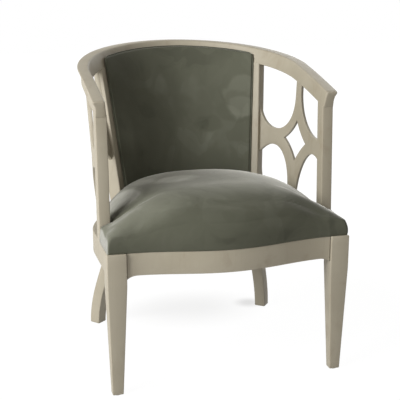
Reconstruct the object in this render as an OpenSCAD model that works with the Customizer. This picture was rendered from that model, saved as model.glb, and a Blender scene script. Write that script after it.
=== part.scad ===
// Barrel chair: a bowed painted frame, pierced fretwork sides, a high-crowned wrapped
// seat and a curved upholstered back. Every Y is measured from the front face of the
// front legs, +Y to the back; from_front() then centres the chair on its own depth.
// A place round the barrel is a share of the horseshoe: 0 at an arm tip, 1 at mid back.

/* [Overall] */
// Width over the outer faces of the front legs
leg_span = 622; // [580:1:680]
// Height of the seat rails' top edge, where the wrapped seat lands
seat_height = 370; // [350:1:400]
// Height of the top face of the arm tips
arm_height = 719; // [700:1:740]
// Height of the crest rail's top face at the middle of the back
back_height = 812; // [790:1:850]

/* [Barrel] */
// How far the front legs stand outside the seat rails' outer faces
leg_proud = 2; // [0:0.5:5]
// Where the seat's plan stops running straight and starts to turn in
seat_turn_y = 204; // [190:1:220]
// How far the seat's plan runs back beyond that
seat_round = 275; // [260:1:290]
// How much wider the frame is inside the crest than at the seat, on each side
crest_spread = 0.5; // [-6:0.5:10]
// Where the crest's plan starts to turn in
crest_turn_y = 340; // [325:1:355]
// How far the crest's plan runs back beyond that
crest_round = 300; // [285:1:315]
// Share by which the round part is leaner than a true ellipse
plan_lean_share = 0.08; // [0:0.01:0.15]
// Share by which the top line climbs faster at the arms than at the back
climb_share = 0.42; // [0:0.01:0.6]

/* [Crest rail and arms] */
// Height of the rail
crest_h = 42; // [36:1:48]
// Thickness of the rail at its top face
crest_w = 30; // [26:0.5:34]
// Thickness of the rail at its underside
crest_foot_w = 28.5; // [24:0.5:32]
// Outward lean of the rail over its own height
crest_flare = 5; // [2:0.5:8]
// Softened edge along the top face
crest_edge = 3; // [1.5:0.5:5]
// Front end of the arm at its top face
arm_tip_y = 116; // [110:1:122]
// Share of the horseshoe at which the arms join the crest
crest_joint_share = 0.62; // [0.6:0.01:0.68]

/* [Arm posts] */
// Front face of the post where it stands on the seat rail
post_y = 113; // [105:1:120]
// Width of the post across the chair
post_w = 28.5; // [24:0.5:32]
// Depth of the post front to back
post_d = 36; // [30:1:42]
// Backward lean, millimetres in each millimetre of height
post_lean_share = 0.047; // [0.02:0.001:0.07]

/* [Front legs] */
// Side of the square block at the top
leg_top = 48; // [44:1:54]
// Height of the square block below the seat's edge
leg_block = 82; // [66:1:100]
// Width of the foot across the chair
foot_w = 27.5; // [24:0.5:34]
// Depth of the foot front to back
foot_d = 23.5; // [20:0.5:30]
// Taper of the outer face
taper_out = 8; // [4:0.5:12]
// Taper of the front face
taper_front = 12; // [6:0.5:16]

/* [Rear posts] */
// How far the rear foot's corner lies inside the front legs' outer faces
rear_foot_in = 52; // [40:1:66]
// Outer front corner of the rear foot, from the front
rear_foot_y = 482; // [465:1:500]
// Turn of the rear foot, so that it faces the middle of the chair
rear_turn = 50; // [44:1:56]
// Side of the square foot
rear_foot = 32.5; // [28:0.5:38]
// Side of the square post at the seat rails
rear_hip = 36; // [32:0.5:40]
// Side of the square post under the crest
rear_head = 28; // [27:0.5:34]
// Height at which the splay has straightened
hip_h = 270; // [255:1:285]
// Share of the horseshoe at which the post's front corner stands
stile_share = 0.575; // [0.56:0.005:0.59]

/* [Seat rails] */
// Depth of the rails, top edge to lower edge
rail_h = 58; // [48:1:66]
// Thickness of the rails
rail_t = 28.5; // [24:0.5:32]
// How far the front rail's ends sit behind the legs' front faces
rail_recess = 7; // [3:1:12]
// How far the middle of the front rail stands in front of its ends
rail_bow = 38; // [20:1:50]
// Drop of the little bracket beside each front leg
bracket_drop = 14; // [8:1:20]
// Length of the bracket along the rail
bracket_run = 30; // [20:1:40]

/* [Fretwork] */
// Thickness of the fretwork panel
fret_t = 9.5; // [8:0.5:12]
// How far the panel lies behind the frame's inner face
fret_inset = 10.5; // [8:0.5:13]
// Direction in which the openings are cut, from straight across the chair
fret_aim = 25; // [18:1:32]
// Middle of the pattern, from the front, on a panel that runs straight back
fret_y = 321; // [312:1:330]
// Height of the pattern's middle over the seat rails
fret_rise = 186; // [176:1:196]
// Half width of the diamond
diamond_w = 51; // [44:1:56]
// Half height of the diamond
diamond_h = 57; // [48:1:64]
// How far the diamond's sides curve in
diamond_hollow = 4; // [2:0.5:7]
// Half width and half height of the upper rear opening
upper_rear = [73, 98]; // [60:1:110]
// Half width and half height of the upper front opening
upper_front = [100, 113]; // [80:1:125]
// Half width and half height of the lower rear opening
lower_rear = [72, 130]; // [60:1:140]
// Half width and half height of the lower front opening
lower_front = [84, 134]; // [70:1:140]
// Lean of the upper openings' outer sides, millimetres in each millimetre of height
open_lean_share = 0.19; // [0:0.01:0.3]
// Stem between the upper openings
upper_stem = 31; // [24:1:40]
// Stem between the lower openings
lower_stem = 33; // [24:1:40]

/* [Seat] */
// Height of the crown over the rails
crown_h = 126; // [100:1:150]
// Height of the cushion's edge at its corners, over the rails
shoulder_h = 41; // [32:1:56]
// Highest place of the crown, from the front
crown_y = 140; // [120:1:240]
// Thickness of the velvet and its wadding
cover_t = 10; // [8:1:14]
// Swell of the cushion's front and corners over its edge
cover_swell = 3; // [1:0.5:5]
// Swell of the cushion's sides towards the fretwork
side_swell = 6; // [1:0.5:8]
// Thickness of the plywood seat board
board_t = 12; // [9:1:15]

/* [Back] */
// Thickness of the back pad at its edge
pad_edge = 7; // [5:0.5:9]
// Thickness of the back pad at its middle
pad_mid = 20; // [14:1:26]
// Show-wood left on the post beside the pad
pad_reveal = 15; // [10:1:20]
// Rail left showing over the pad
pad_drop = 17; // [12:1:22]
// Height of the pad's hidden lower edge over the seat rails
pad_foot = 38; // [30:1:46]
// Thickness of the outside back cover on its board
outback_t = 4; // [3:0.5:6]

/* [Hidden] */
paint = [0.74, 0.71, 0.63];
bare_wood = [0.76, 0.62, 0.44];
velvet = [0.37, 0.38, 0.33];
foam = [0.93, 0.88, 0.70];
webbing = [0.55, 0.50, 0.42];
black_cloth = [0.12, 0.12, 0.12];
steel = [0.70, 0.70, 0.72];
nylon = [0.85, 0.85, 0.82];

// Gap between a soft piece and what it lies against
soft_gap = 0.4;
// Gap at a close joint between two pieces of the frame
joint_gap = 0.05;
// How far a cutter runs past what it cuts
over = 60;
// Thickness and radius of a glide under a foot
glide_t = 2;
glide_r = 9;
// Dowels between the front legs and the rails
dowel_r = 5;
dowel_len = 40;
dowel_pitch = 30;
dowel_gap = 0.1;
// Screws that hold the seat board down on the corner blocks
screw_r = 2.5;
screw_head_r = 5;
screw_head_t = 3;
screw_bite = 8;
screw_gap = 0.2;
// Corner blocks: arm along the rails, thickness and depth
block_arm = 58;
block_t = 30;
block_depth = 48;
// Lower back rail, which carries the foot of the back pad
back_rail_h = 40;
back_rail_t = 20;
back_rail_lift = 36;
// Webbing bands of the back, and their number
web_w = 50;
web_t = 1.5;
web_count = 5;
// Round welt along the edge of the back pad
welt_r = 2.5;
// Dust cover under the seat
dust_t = 1;
dust_lap = 10;
// Front corners of the wrapped seat
seat_corner = 12;
seat_lap = 1;
// Rim of the back cover round its foam, and the foam's clearance
rim_w = 12;
skin_t = 4;
// Slopes of the rear post at the hip, and how far it has moved from the foot there
hip_slope_shares = [-0.20, -0.32];
hip_shift = [-52.5, -63];
// The post's straight upper part starts this far over the seat rails
knee_rise = 30;
// Steps round the barrel, up the panels and up the posts
round_step = 0.02;
plan_steps = 48;
rise_steps = 4;
post_steps = 14;

// Sizes that follow from the ones above
leg_x = leg_span / 2;
leg_in = leg_x - leg_top;
seat_half = leg_x - leg_proud - rail_t;
crest_half = seat_half + crest_spread;
seat_back_y = seat_turn_y + seat_round;
crest_back_y = crest_turn_y + crest_round;
back_rake = (crest_back_y - seat_back_y) / (back_height - seat_height);
back_most = crest_back_y + crest_flare + crest_w - crest_edge * back_rake;
front_most = rail_bow - rail_recess + seat_lap + cover_swell;
origin_y = (back_most - front_most) / 2;
rail_z = seat_height - rail_h;
stile_low_z = seat_height + knee_rise;

// Plan of the horseshoe

function round_plan(half, turn_y, reach, start_y) = concat(
    [for (i = [0:plan_steps - 1]) [half, start_y + (turn_y - start_y) * i / plan_steps]],
    [for (i = [0:plan_steps]) let (t = 90 * i / plan_steps)
        [half * pow(cos(t), 1 + plan_lean_share),
         turn_y + reach * pow(sin(t), 1 + plan_lean_share)]]);

function run_lengths(pts) = [for (i = 0, run = 0; i < len(pts);
    run = run + (i + 1 < len(pts) ? norm(pts[i + 1] - pts[i]) : 0), i = i + 1) run];

function share_table(pts, axis) = let (runs = run_lengths(pts), whole = runs[len(runs) - 1])
    [for (i = [0:len(pts) - 1]) [runs[i] / whole, pts[i][axis]]];

seat_plan = round_plan(seat_half, seat_turn_y, seat_round, post_y);
crest_plan = round_plan(crest_half, crest_turn_y, crest_round, arm_tip_y);
seat_xs = share_table(seat_plan, 0);
seat_ys = share_table(seat_plan, 1);
crest_xs = share_table(crest_plan, 0);
crest_ys = share_table(crest_plan, 1);
barrel_run = run_lengths(seat_plan)[len(seat_plan) - 1];

// Height of the crest's top face at a share of the horseshoe
function crest_top(s) =
    let (v = (lookup(s, crest_ys) - arm_tip_y) / (crest_back_y - arm_tip_y))
    arm_height + (back_height - arm_height) * ((1 + climb_share) * v - climb_share * v * v);

// Inner face of the frame: straight lines from the seat's plan to the crest's plan
function wall(s, z) = let (k = (z - seat_height) / (crest_top(s) - seat_height))
    [(1 - k) * lookup(s, seat_xs) + k * lookup(s, crest_xs),
     (1 - k) * lookup(s, seat_ys) + k * lookup(s, crest_ys)];

// Outward direction of that face
wall_probe_share = 0.004;
function wall_out(s, z) = s > 1 - wall_probe_share ? [0, 1] :
    let (a = wall(max(s - wall_probe_share, 0), z), b = wall(s + wall_probe_share, z),
         t = (b - a) / norm(b - a)) [t.y, -t.x];

// Point at depth d behind the inner face; u runs from -1 at the left tip to 1 at the right
function barrel(u, z, d) = let (s = 1 - abs(u), p = wall(s, z), n = wall_out(s, z))
    [sign(u) * (p.x + d * n.x), p.y + d * n.y, z];

// The same with upright faces, for the seat rails
function rail_point(u, z, d) = let (p = barrel(u, seat_height, d)) [p.x, p.y, z];

// Front face of the front rail at a place across the chair
function rail_front(x) = rail_recess - rail_bow * (1 + cos(180 * x / leg_in)) / 2;

// Skinning

function middle(ring) = [for (k = [0:2]) [for (p = ring) p[k]] * [for (p = ring) 1] / len(ring)];

function skin_volume(pts, faces) = let (parts = [for (f = faces)
    cross(pts[f[0]], pts[f[1]]) * pts[f[2]]]) parts * [for (p = parts) 1];

// One closed solid through rings of equal count, its two ends closed to their middles
module skin(rings) {
    n = len(rings[0]);
    last = len(rings) - 1;
    pts = concat([for (r = rings) each r], [middle(rings[0]), middle(rings[last])]);
    hub = len(pts) - 2;
    sides = [for (j = [0:last - 1]) for (i = [0:n - 1])
        let (a = j * n + i, b = j * n + (i + 1) % n) each [[a, b, b + n], [a, b + n, a + n]]];
    ends = [for (i = [0:n - 1]) each [[(i + 1) % n, i, hub],
        [last * n + i, last * n + (i + 1) % n, hub + 1]]];
    faces = concat(sides, ends);
    turned = [for (f = faces) [f[2], f[1], f[0]]];
    polyhedron(pts, skin_volume(pts, faces) > 0 ? turned : faces);
}

// Steps from one place to another, both included
function steps(from, to, step) = let (n = max(1, ceil(abs(to - from) / step)))
    [for (i = [0:n]) from + (to - from) * i / n];

module from_front() {
    translate([0, -origin_y, 0]) children();
}

// side is -1 for the left of the chair and 1 for the right
module on_side(side) {
    if (side < 0) mirror([1, 0, 0]) children();
    else children();
}

// Crest rail and arms

// Section of the rail; the front end is cut back at its foot to meet the post's front face
function crest_ring(u) = let (
    top = crest_top(1 - abs(u)),
    foot = top - crest_h,
    cut = abs(u) < 1 ? 0 : post_y + post_lean_share * (foot - seat_height) - arm_tip_y,
    sect = [[0, 0], [crest_flare, crest_h - crest_edge],
        [crest_flare + crest_edge, crest_h],
        [crest_flare + crest_w - crest_edge, crest_h],
        [crest_flare + crest_w, crest_h - crest_edge], [crest_foot_w, 0]])
    [for (q = sect) barrel(u, foot + q.y, q.x) + [0, cut * (1 - q.y / crest_h), 0]];

module crest_run(from, to) {
    skin([for (u = steps(from, to, round_step)) crest_ring(u)]);
}

// Everything over the rail's underside, to trim what stands below it
module over_crest() {
    skin([for (u = steps(-1, 1, round_step)) let (foot = crest_top(1 - abs(u)) - crest_h - joint_gap)
        [for (q = [[-over, 0], [-over, over], [2 * over, over], [2 * over, 0]])
            let (p = barrel(u, foot + q.y, q.x)) [p.x, p.y - (abs(u) < 1 ? 0 : over), p.z]]]);
}

module crest_rail() {
    color(paint) from_front() crest_run(crest_joint_share - 1, 1 - crest_joint_share);
}

module arm_rail(side) {
    color(paint) from_front() on_side(side) crest_run(1, 1 - crest_joint_share + joint_gap / barrel_run);
}

// Arm posts

module arm_post_blank(grow) {
    skin([for (z = [seat_height - grow, arm_height - crest_edge])
        let (y = post_y + post_lean_share * (z - seat_height)) [[seat_half - grow, y - grow, z], [seat_half + post_w + grow, y - grow, z],
         [seat_half + post_w + grow, y + post_d + grow, z], [seat_half - grow, y + post_d + grow, z]]]);
}

module arm_post(side) {
    color(paint) from_front() on_side(side) difference() {
        arm_post_blank(0);
        over_crest();
    }
}

// Front legs

module front_leg(side) {
    color(paint) from_front() on_side(side) difference() {
        union() {
            translate([leg_in, 0, seat_height - leg_block]) cube([leg_top, leg_top, leg_block]);
            hull() {
                translate([leg_in, 0, seat_height - leg_block]) cube([leg_top, leg_top, joint_gap]);
                translate([leg_x - taper_out - foot_w, taper_front, glide_t])
                    cube([foot_w, foot_d, joint_gap]);
            }
        }
        rail_dowel_set(dowel_gap);
    }
}

// Rear posts: a splayed leg and a stile in one curved piece

function ease_in(u) = [1 - 3 * u * u + 2 * u * u * u, 3 * u * u - 2 * u * u * u,
    u * u * u - 2 * u * u + u, u * u * u - u * u];

function curve(p0, p1, m0, m1, u) = let (h = ease_in(u)) h[0] * p0 + h[1] * p1 + h[2] * m0 + h[3] * m1;

stile_slope = (wall(stile_share, seat_height + leg_block) - wall(stile_share, seat_height)) / leg_block;
foot_point = [leg_x - rear_foot_in, rear_foot_y];
hip_point = foot_point + hip_shift;

function rear_corner(z) = z >= stile_low_z ? wall(stile_share, z) :
    z >= hip_h ? curve(hip_point, wall(stile_share, stile_low_z),
        hip_slope_shares * (stile_low_z - hip_h), stile_slope * (stile_low_z - hip_h),
        (z - hip_h) / (stile_low_z - hip_h)) :
    curve(foot_point, hip_point, [0, 0], hip_slope_shares * hip_h, z / hip_h);

function rear_size(z) = z < hip_h ? rear_foot + (rear_hip - rear_foot) * z / hip_h :
    rear_hip + (rear_head - rear_hip) * (z - hip_h) / (back_height - hip_h);

function rear_out(z) = let (w = wall_out(stile_share + post_d / 2 / barrel_run, max(z, seat_height)),
    low = [cos(rear_turn), sin(rear_turn)], k = min(1, z / seat_height),
    n = (1 - k) * low + k * w) n / norm(n);

// The post's square at a height, grown all round
function rear_ring(z, grow) = let (c = rear_corner(z), n = rear_out(z), t = [-n.y, n.x],
    w = rear_size(z) + grow)
    [for (q = [[-grow, -grow], [w, -grow], [w, w], [-grow, w]])
        let (p = c + q.x * n + q.y * t) [p.x, p.y, z]];

function post_heights(low, high) = concat(
    steps(low, stile_low_z, (stile_low_z - low) / post_steps),
    [for (z = steps(stile_low_z, high, over)) if (z > stile_low_z) z]);

module rear_post_blank(low, grow) {
    skin([for (z = post_heights(low, crest_top(stile_share))) rear_ring(z, grow)]);
}

module rear_post(side) {
    color(paint) from_front() on_side(side) difference() {
        rear_post_blank(glide_t, 0);
        over_crest();
    }
}

// Seat rails

module rail_run(from, to, low, high) {
    skin([for (u = steps(from, to, round_step))
        [rail_point(u, low, 0), rail_point(u, high, 0), rail_point(u, high, rail_t), rail_point(u, low, rail_t)]]);
}

module side_seat_rail(side) {
    color(paint) from_front() on_side(side) difference() {
        union() {
            translate([seat_half, leg_top, rail_z])
                cube([rail_t, post_y - leg_top + over / 2, rail_h]);
            rail_run(1 - over / 4 / barrel_run, 1 - stile_share - post_d / 2 / barrel_run, rail_z, seat_height);
        }
        rear_post_blank(rail_z - over, joint_gap);
        rail_dowel_set(dowel_gap);
    }
}

module back_seat_rail() {
    half = 1 - stile_share - post_d / 2 / barrel_run;
    color(paint) from_front() difference() {
        rail_run(-half, half, rail_z, seat_height);
        for (side = [-1, 1]) on_side(side) rear_post_blank(rail_z - over, joint_gap);
    }
}

// Outline of the front rail's front view: straight edge with a bracket at each end
function rail_face() = concat(
    [[-leg_in, seat_height], [-leg_in, rail_z - bracket_drop]],
    [for (a = [15:15:90]) [-leg_in + bracket_run * (1 - cos(a)), rail_z - bracket_drop * (1 - sin(a))]],
    [for (a = [90:-15:15]) [leg_in - bracket_run * (1 - cos(a)), rail_z - bracket_drop * (1 - sin(a))]],
    [[leg_in, rail_z - bracket_drop], [leg_in, seat_height]]);

function rail_xs() = steps(-leg_in, leg_in, leg_in / 12);

module front_seat_rail() {
    color(paint) from_front() difference() {
        intersection() {
            translate([0, leg_top, 0]) rotate([90, 0, 0]) linear_extrude(leg_top + rail_bow + over)
                polygon(rail_face());
            translate([0, 0, rail_z - bracket_drop]) linear_extrude(rail_h + bracket_drop)
                polygon(concat([for (x = rail_xs()) [x, rail_front(x)]],
                    [for (x = rail_xs()) [-x, rail_front(x) + rail_t]]));
        }
        rail_dowel_set(dowel_gap);
    }
}

// Dowels between the front legs and the rails, with room round them when they cut
module rail_dowel_set(room) {
    for (side = [-1, 1]) on_side(side) for (k = [0, 1]) {
        z = rail_z + (rail_h - dowel_pitch) / 2 + k * dowel_pitch;
        translate([leg_in - dowel_len / 2 - room, rail_recess + rail_t / 2, z]) rotate([0, 90, 0])
            cylinder(h = dowel_len + 2 * room, r = dowel_r + room, $fn = 24);
        translate([seat_half + rail_t / 2, leg_top + dowel_len / 2 + room, z + dowel_r * (1 - 2 * k)])
            rotate([90, 0, 0]) cylinder(h = dowel_len + 2 * room, r = dowel_r + room, $fn = 24);
    }
}

module rail_dowels() {
    color(bare_wood) from_front() rail_dowel_set(0);
}

// Corner blocks inside the seat rails, and the screws that hold the seat down

function block_front_outline() = let (x0 = leg_in - block_arm, back = rail_t + joint_gap)
    concat([for (x = steps(leg_in - joint_gap, x0, block_arm / 4)) [x, rail_front(x) + back]],
        [[seat_half - joint_gap, leg_top + block_arm], [seat_half - joint_gap, leg_top + joint_gap],
         [leg_in - joint_gap, leg_top + joint_gap]]);

block_from_share = stile_share - block_arm / barrel_run;
block_to_share = stile_share + (post_d + block_arm) / barrel_run;

// Places along the rails at which the rear block starts and ends, and its inner corners there
function flat_point(s, d) = let (p = rail_point(1 - s, 0, d)) [p.x, p.y];
block_ends = [for (s = [block_to_share, block_from_share]) flat_point(s, -block_depth / 2)];

function block_rear_outline() =
    concat([for (s = steps(block_from_share, block_to_share, round_step)) flat_point(s, -joint_gap)], block_ends);

block_z = seat_height - joint_gap - block_t;
front_screw_at = [leg_in - block_arm / 4, leg_top + block_arm / 5];
rear_screw_share = 0.8;
rear_screw_at = let (p = flat_point((block_from_share + block_to_share) / 2, 0), chord = (block_ends[0] + block_ends[1]) / 2)
    p + rear_screw_share * (chord - p);

module screw_at(place, room) {
    translate([place.x, place.y, block_z]) {
        translate([0, 0, -screw_head_t - room])
            cylinder(h = screw_head_t + 2 * room, r = screw_head_r + room, $fn = 24);
        cylinder(h = block_t + screw_bite + room, r = screw_r + room, $fn = 24);
    }
}

module seat_screw_set(room) {
    for (side = [-1, 1]) on_side(side) {
        screw_at(front_screw_at, room);
        screw_at(rear_screw_at, room);
    }
}

module seat_screws() {
    color(steel) from_front() seat_screw_set(0);
}

module corner_block(side, outline) {
    color(bare_wood) from_front() difference() {
        on_side(side) difference() {
            translate([0, 0, block_z]) linear_extrude(block_t) polygon(outline);
            rear_post_blank(rail_z - over, joint_gap);
        }
        seat_screw_set(screw_gap);
    }
}

// Fretwork

function oval(mid, half, from, to) = [for (a = [from:7.5:to]) [mid.x + half.x * cos(a), mid.y + half.y * sin(a)]];

fret_mid = fret_y * cos(fret_aim) - (seat_half + fret_inset) * sin(fret_aim);
fret_h = seat_height + fret_rise;
upper_front_at = [fret_mid - upper_stem / 2 - upper_front.x, fret_h + diamond_h + upper_front.y - over / 2];
upper_rear_at = [fret_mid + upper_stem / 2 + upper_rear.x, upper_front_at.y - over / 3];
lower_front_at = [fret_mid - lower_stem / 2 - lower_front.x, fret_h - diamond_h / 3 - lower_front.y];
lower_rear_at = [fret_mid + lower_stem / 2 + lower_rear.x, lower_front_at.y];

// An opening over the pattern's middle runs up to the crest
module upper_opening(at, half) {
    lean = open_lean_share * (back_height - at.y);
    behind = at.x > fret_mid;
    polygon(concat(oval(at, half, 180, 360), [[at.x + half.x + (behind ? lean : 0), back_height],
        [at.x - half.x - (behind ? 0 : lean), back_height]]));
}

// An opening under it runs down to the seat rail
module lower_opening(at, half) {
    polygon(concat(oval(at, half, 0, 180),
        [[at.x - half.x, rail_z], [at.x + half.x, rail_z]]));
}

function hollow_side(a, b, steps_n) = let (mid = (a + b) / 2, in = -mid / norm(mid) * diamond_hollow)
    [for (i = [0:steps_n - 1]) let (k = i / steps_n) a + (b - a) * k + in * 4 * k * (1 - k)];

module diamond() {
    tips = [[0, diamond_h], [diamond_w, 0], [0, -diamond_h], [-diamond_w, 0]];
    translate([fret_mid, fret_h])
        polygon([for (i = [0:3]) each hollow_side(tips[i], tips[(i + 1) % 4], 6)]);
}

module fret_cut() {
    rotate([90, 0, 90 + fret_aim]) linear_extrude(leg_span) children();
}

fret_from_share = post_d / 2 / barrel_run;
fret_to_share = stile_share + rear_head / 2 / barrel_run;

module fret_panel(side) {
    levels = [for (i = [0:rise_steps]) i / rise_steps];
    color(paint) from_front() on_side(side) difference() {
        skin([for (s = steps(fret_from_share, fret_to_share, round_step))
            let (top = crest_top(s) - crest_h / 2) concat(
                [for (k = levels) barrel(1 - s, seat_height + joint_gap + (top - seat_height) * k, fret_inset)],
                [for (k = levels) barrel(1 - s, seat_height + joint_gap + (top - seat_height) * (1 - k),
                    fret_inset + fret_t)])]);
        over_crest();
        arm_post_blank(joint_gap);
        rear_post_blank(rail_z, joint_gap);
        fret_cut() {
            upper_opening(upper_front_at, upper_front);
            upper_opening(upper_rear_at, upper_rear);
            lower_opening(lower_front_at, lower_front);
            lower_opening(lower_rear_at, lower_rear);
            diamond();
        }
    }
}

// Back frame, webbing, pad and covers

back_half = 1 - stile_share - rear_hip / 2 / barrel_run;
back_rail_z = seat_height + back_rail_lift;

module lower_back_rail() {
    color(bare_wood) from_front() difference() {
        skin([for (u = steps(-back_half, back_half, round_step))
            [for (q = [[0, 0], [0, 1], [1, 1], [1, 0]])
                barrel(u, back_rail_z + q.y * back_rail_h, q.x * back_rail_t)]]);
        for (side = [-1, 1]) on_side(side) rear_post_blank(rail_z, joint_gap);
    }
}

module web_band(u) {
    half = web_w / 2 / barrel_run;
    top = crest_top(1 - abs(u)) - pad_drop - pad_edge;
    foot = back_rail_z + back_rail_h / 3;
    across = [-1:0.5:1];
    skin([for (z = steps(foot, top, over)) concat(
        [for (k = across) barrel(u + k * half, z, -web_t - joint_gap)],
        [for (k = across) barrel(u - k * half, z, -joint_gap)])]);
}

module back_webbing() {
    color(webbing) from_front() for (k = [0:web_count - 1])
        web_band((k - (web_count - 1) / 2) * 2 * (back_half - web_w / barrel_run) / (web_count - 1));
}

// Edge of the pad beside the post, as a share of the horseshoe, and its top and foot
pad_share = stile_share + pad_reveal / barrel_run;
pad_half = 1 - pad_share;
pad_low_z = seat_height + pad_foot;
pad_back_d = -web_t - soft_gap;
function pad_high_z(u) = crest_top(1 - abs(u)) - pad_drop;

// Thickness of the pad at shares of its width and height
function pad_depth(across, up) = pad_edge + (pad_mid - pad_edge)
    * (1 - pow(abs(2 * across - 1), 4)) * (1 - pow(abs(2 * up - 1), 6));

pad_up_shares = [0, 0.02, 0.06, 0.14, 0.26, 0.4, 0.55, 0.7, 0.82, 0.91, 0.96, 0.985, 1];
pad_soft_shares = [0.4, 0.8, 1, 1, 1, 1, 1, 1, 1, 1, 1, 0.8, 0.4];
pad_across_shares = concat([0, 0.006, 0.02], [for (i = [1:19]) 0.02 + 0.96 * i / 20], [0.98, 0.994, 1]);
pad_side_shares = concat([0.4, 0.8, 1], [for (i = [1:19]) 1], [1, 0.8, 0.4]);

function pad_front(u, across, side_share) = let (low = pad_low_z, high = pad_high_z(u))
    [for (i = [0:len(pad_up_shares) - 1]) barrel(u, low + (high - low) * pad_up_shares[i],
        pad_back_d - pad_depth(across, pad_up_shares[i]) * pad_soft_shares[i] * side_share)];

// Back of the cover: flush at its rim, hollow where the foam lies
function cover_back(u, across, hollow) = let (low = pad_low_z, high = pad_high_z(u),
    zs = [high, high - rim_w, high - rim_w - soft_gap, low + rim_w + soft_gap, low + rim_w, low],
    deep = [0, 0, 1, 1, 0, 0])
    [for (i = [0:5]) barrel(u, zs[i], pad_back_d - (hollow ? deep[i] * (pad_edge - skin_t) : 0))];

foam_half = pad_half - rim_w / barrel_run;

module inside_back_cover() {
    n = len(pad_across_shares) - 1;
    color(velvet) from_front() skin([for (i = [0:n]) let (a = pad_across_shares[i],
        u = (2 * a - 1) * pad_half, inside = abs(u) < foam_half)
        concat(pad_front(u, a, pad_side_shares[i]), cover_back(u, a, inside))]);
}

module back_foam() {
    edge = rim_w + 2 * soft_gap;
    half = foam_half - pad_half / 10;
    us = [for (a = pad_across_shares) let (u = (2 * a - 1) * pad_half) if (abs(u) < half) u];
    color(foam) from_front() skin([for (u = us)
        let (low = pad_low_z + edge, high = pad_high_z(u) - edge)
        [for (q = [[0, low], [0, high], [skin_t - pad_edge + soft_gap, high], [skin_t - pad_edge + soft_gap, low]])
            barrel(u, q.y, pad_back_d + q.x)]]);
}

// Path of the welt: up one side of the pad, along its top and down the other side
welt_d = pad_back_d - welt_r;
function welt_path() = let (out = (welt_r + soft_gap) / barrel_run, lift = welt_r + soft_gap)
    concat([for (k = [0:6]) let (z = pad_low_z + (pad_high_z(pad_half) + lift - pad_low_z) * k / 6)
            barrel(-pad_half - out, z, welt_d)],
        [for (k = [1:23]) let (u = (pad_half + out) * (2 * k / 24 - 1)) barrel(u, pad_high_z(u) + lift, welt_d)],
        [for (k = [6:-1:0]) let (z = pad_low_z + (pad_high_z(pad_half) + lift - pad_low_z) * k / 6)
            barrel(pad_half + out, z, welt_d)]);

module back_welt() {
    path = welt_path();
    last = len(path) - 1;
    color(velvet) from_front() skin([for (i = [0:last]) let (
        p = path[i],
        t = path[min(i + 1, last)] - path[max(i - 1, 0)],
        dir = t / norm(t),
        in = [-p.x, crown_y - p.y, 0] / norm([-p.x, crown_y - p.y, 0]),
        side = cross(dir, in) / norm(cross(dir, in)),
        up = cross(side, dir))
        [for (a = [0:45:315]) p + welt_r * (cos(a) * side + sin(a) * up)]]);
}

outback_half = 1 - stile_share - 3 * rear_head / 4 / barrel_run;

module outside_back_cover() {
    d0 = rail_t - outback_t;
    color(velvet) from_front() difference() {
        skin([for (u = steps(-outback_half, outback_half, round_step)) let (
            low = seat_height + joint_gap, high = crest_top(1 - abs(u)))
            concat([for (k = [0:rise_steps]) barrel(u, low + (high - low) * k / rise_steps, d0)],
                [for (k = [rise_steps:-1:0]) barrel(u, low + (high - low) * k / rise_steps, rail_t)])]);
        over_crest();
        for (side = [-1, 1]) on_side(side) rear_post_blank(rail_z, joint_gap);
    }
}

// Wrapped seat

// Half outline of the seat, front middle to back middle, at a depth inside the frame
function seat_half_outline(inset) = let (
    w = seat_half + rail_t - inset,
    in = seat_half - soft_gap - inset,
    front_run = [for (x = steps(0, w - seat_corner, (w - seat_corner) / 8))
        [x, rail_front(min(x, leg_in)) - seat_lap + inset]],
    fy = rail_recess - seat_lap + inset,
    notch_y = post_y - soft_gap - inset)
    concat(front_run,
        [for (a = [-60:30:0]) [w - seat_corner + seat_corner * cos(a), fy + seat_corner + seat_corner * sin(a)]],
        [[w, (fy + notch_y) / 2], [w, notch_y - soft_gap], [in + soft_gap, notch_y], [in, notch_y + soft_gap]],
        [for (s = [0.08:0.07:0.99]) let (p = rail_point(1 - s, 0, s > stile_share - 0.02 ?
            pad_back_d - pad_edge - soft_gap - inset : -soft_gap - inset)) [p.x, p.y]],
        [[0, seat_back_y + pad_back_d - pad_edge - soft_gap - inset]]);

function whole_outline(half) = concat(half,
    [for (i = [len(half) - 2:-1:1]) [-half[i].x, half[i].y]]);

// Height of the seat's top over its shoulder, as a share of the crown's own height there:
// a rounded dome that eases out flat at the front corners
crown_over = 2.5;
front_reach = 60;
back_reach = 25;
plan_power = 2.3;
dome_power = 3.2;
ease_share = 0.19;
function dome_share(p) = let (
    reach = p.y < crown_y ? crown_y + front_reach : seat_back_y - crown_y + back_reach,
    across = pow(abs(p.x) / (seat_half + crown_over), plan_power),
    along = pow(abs(p.y - crown_y) / reach, plan_power),
    rho = pow(across + along, 1 / plan_power),
    f = 1 - pow(rho, dome_power))
    (f + sqrt(f * f + ease_share * ease_share)) / (1 + sqrt(1 + ease_share * ease_share));

// Rings of the cushion from its rounded edge to its crown, drawn in towards a place ahead of the posts
dome_shares = [0, 0.03, 0.08, 0.15, 0.26, 0.4, 0.57, 0.78];
edge_round = 8;
edge_share = 0.08;
notch_lead = 17;
fold_y = post_y - notch_lead;
function dome_top(p, share, inset) = let (k = 1 - min(1, share / edge_share))
    seat_height + shoulder_h + (crown_h - shoulder_h) * dome_share(p) - edge_round * k * k - inset;
function dome_ring(outline, inset, share) = [for (p = outline)
    let (r = [0, fold_y] + (1 - share) * (p - [0, fold_y])) [r.x, r.y, dome_top(r, share, inset)]];

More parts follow.
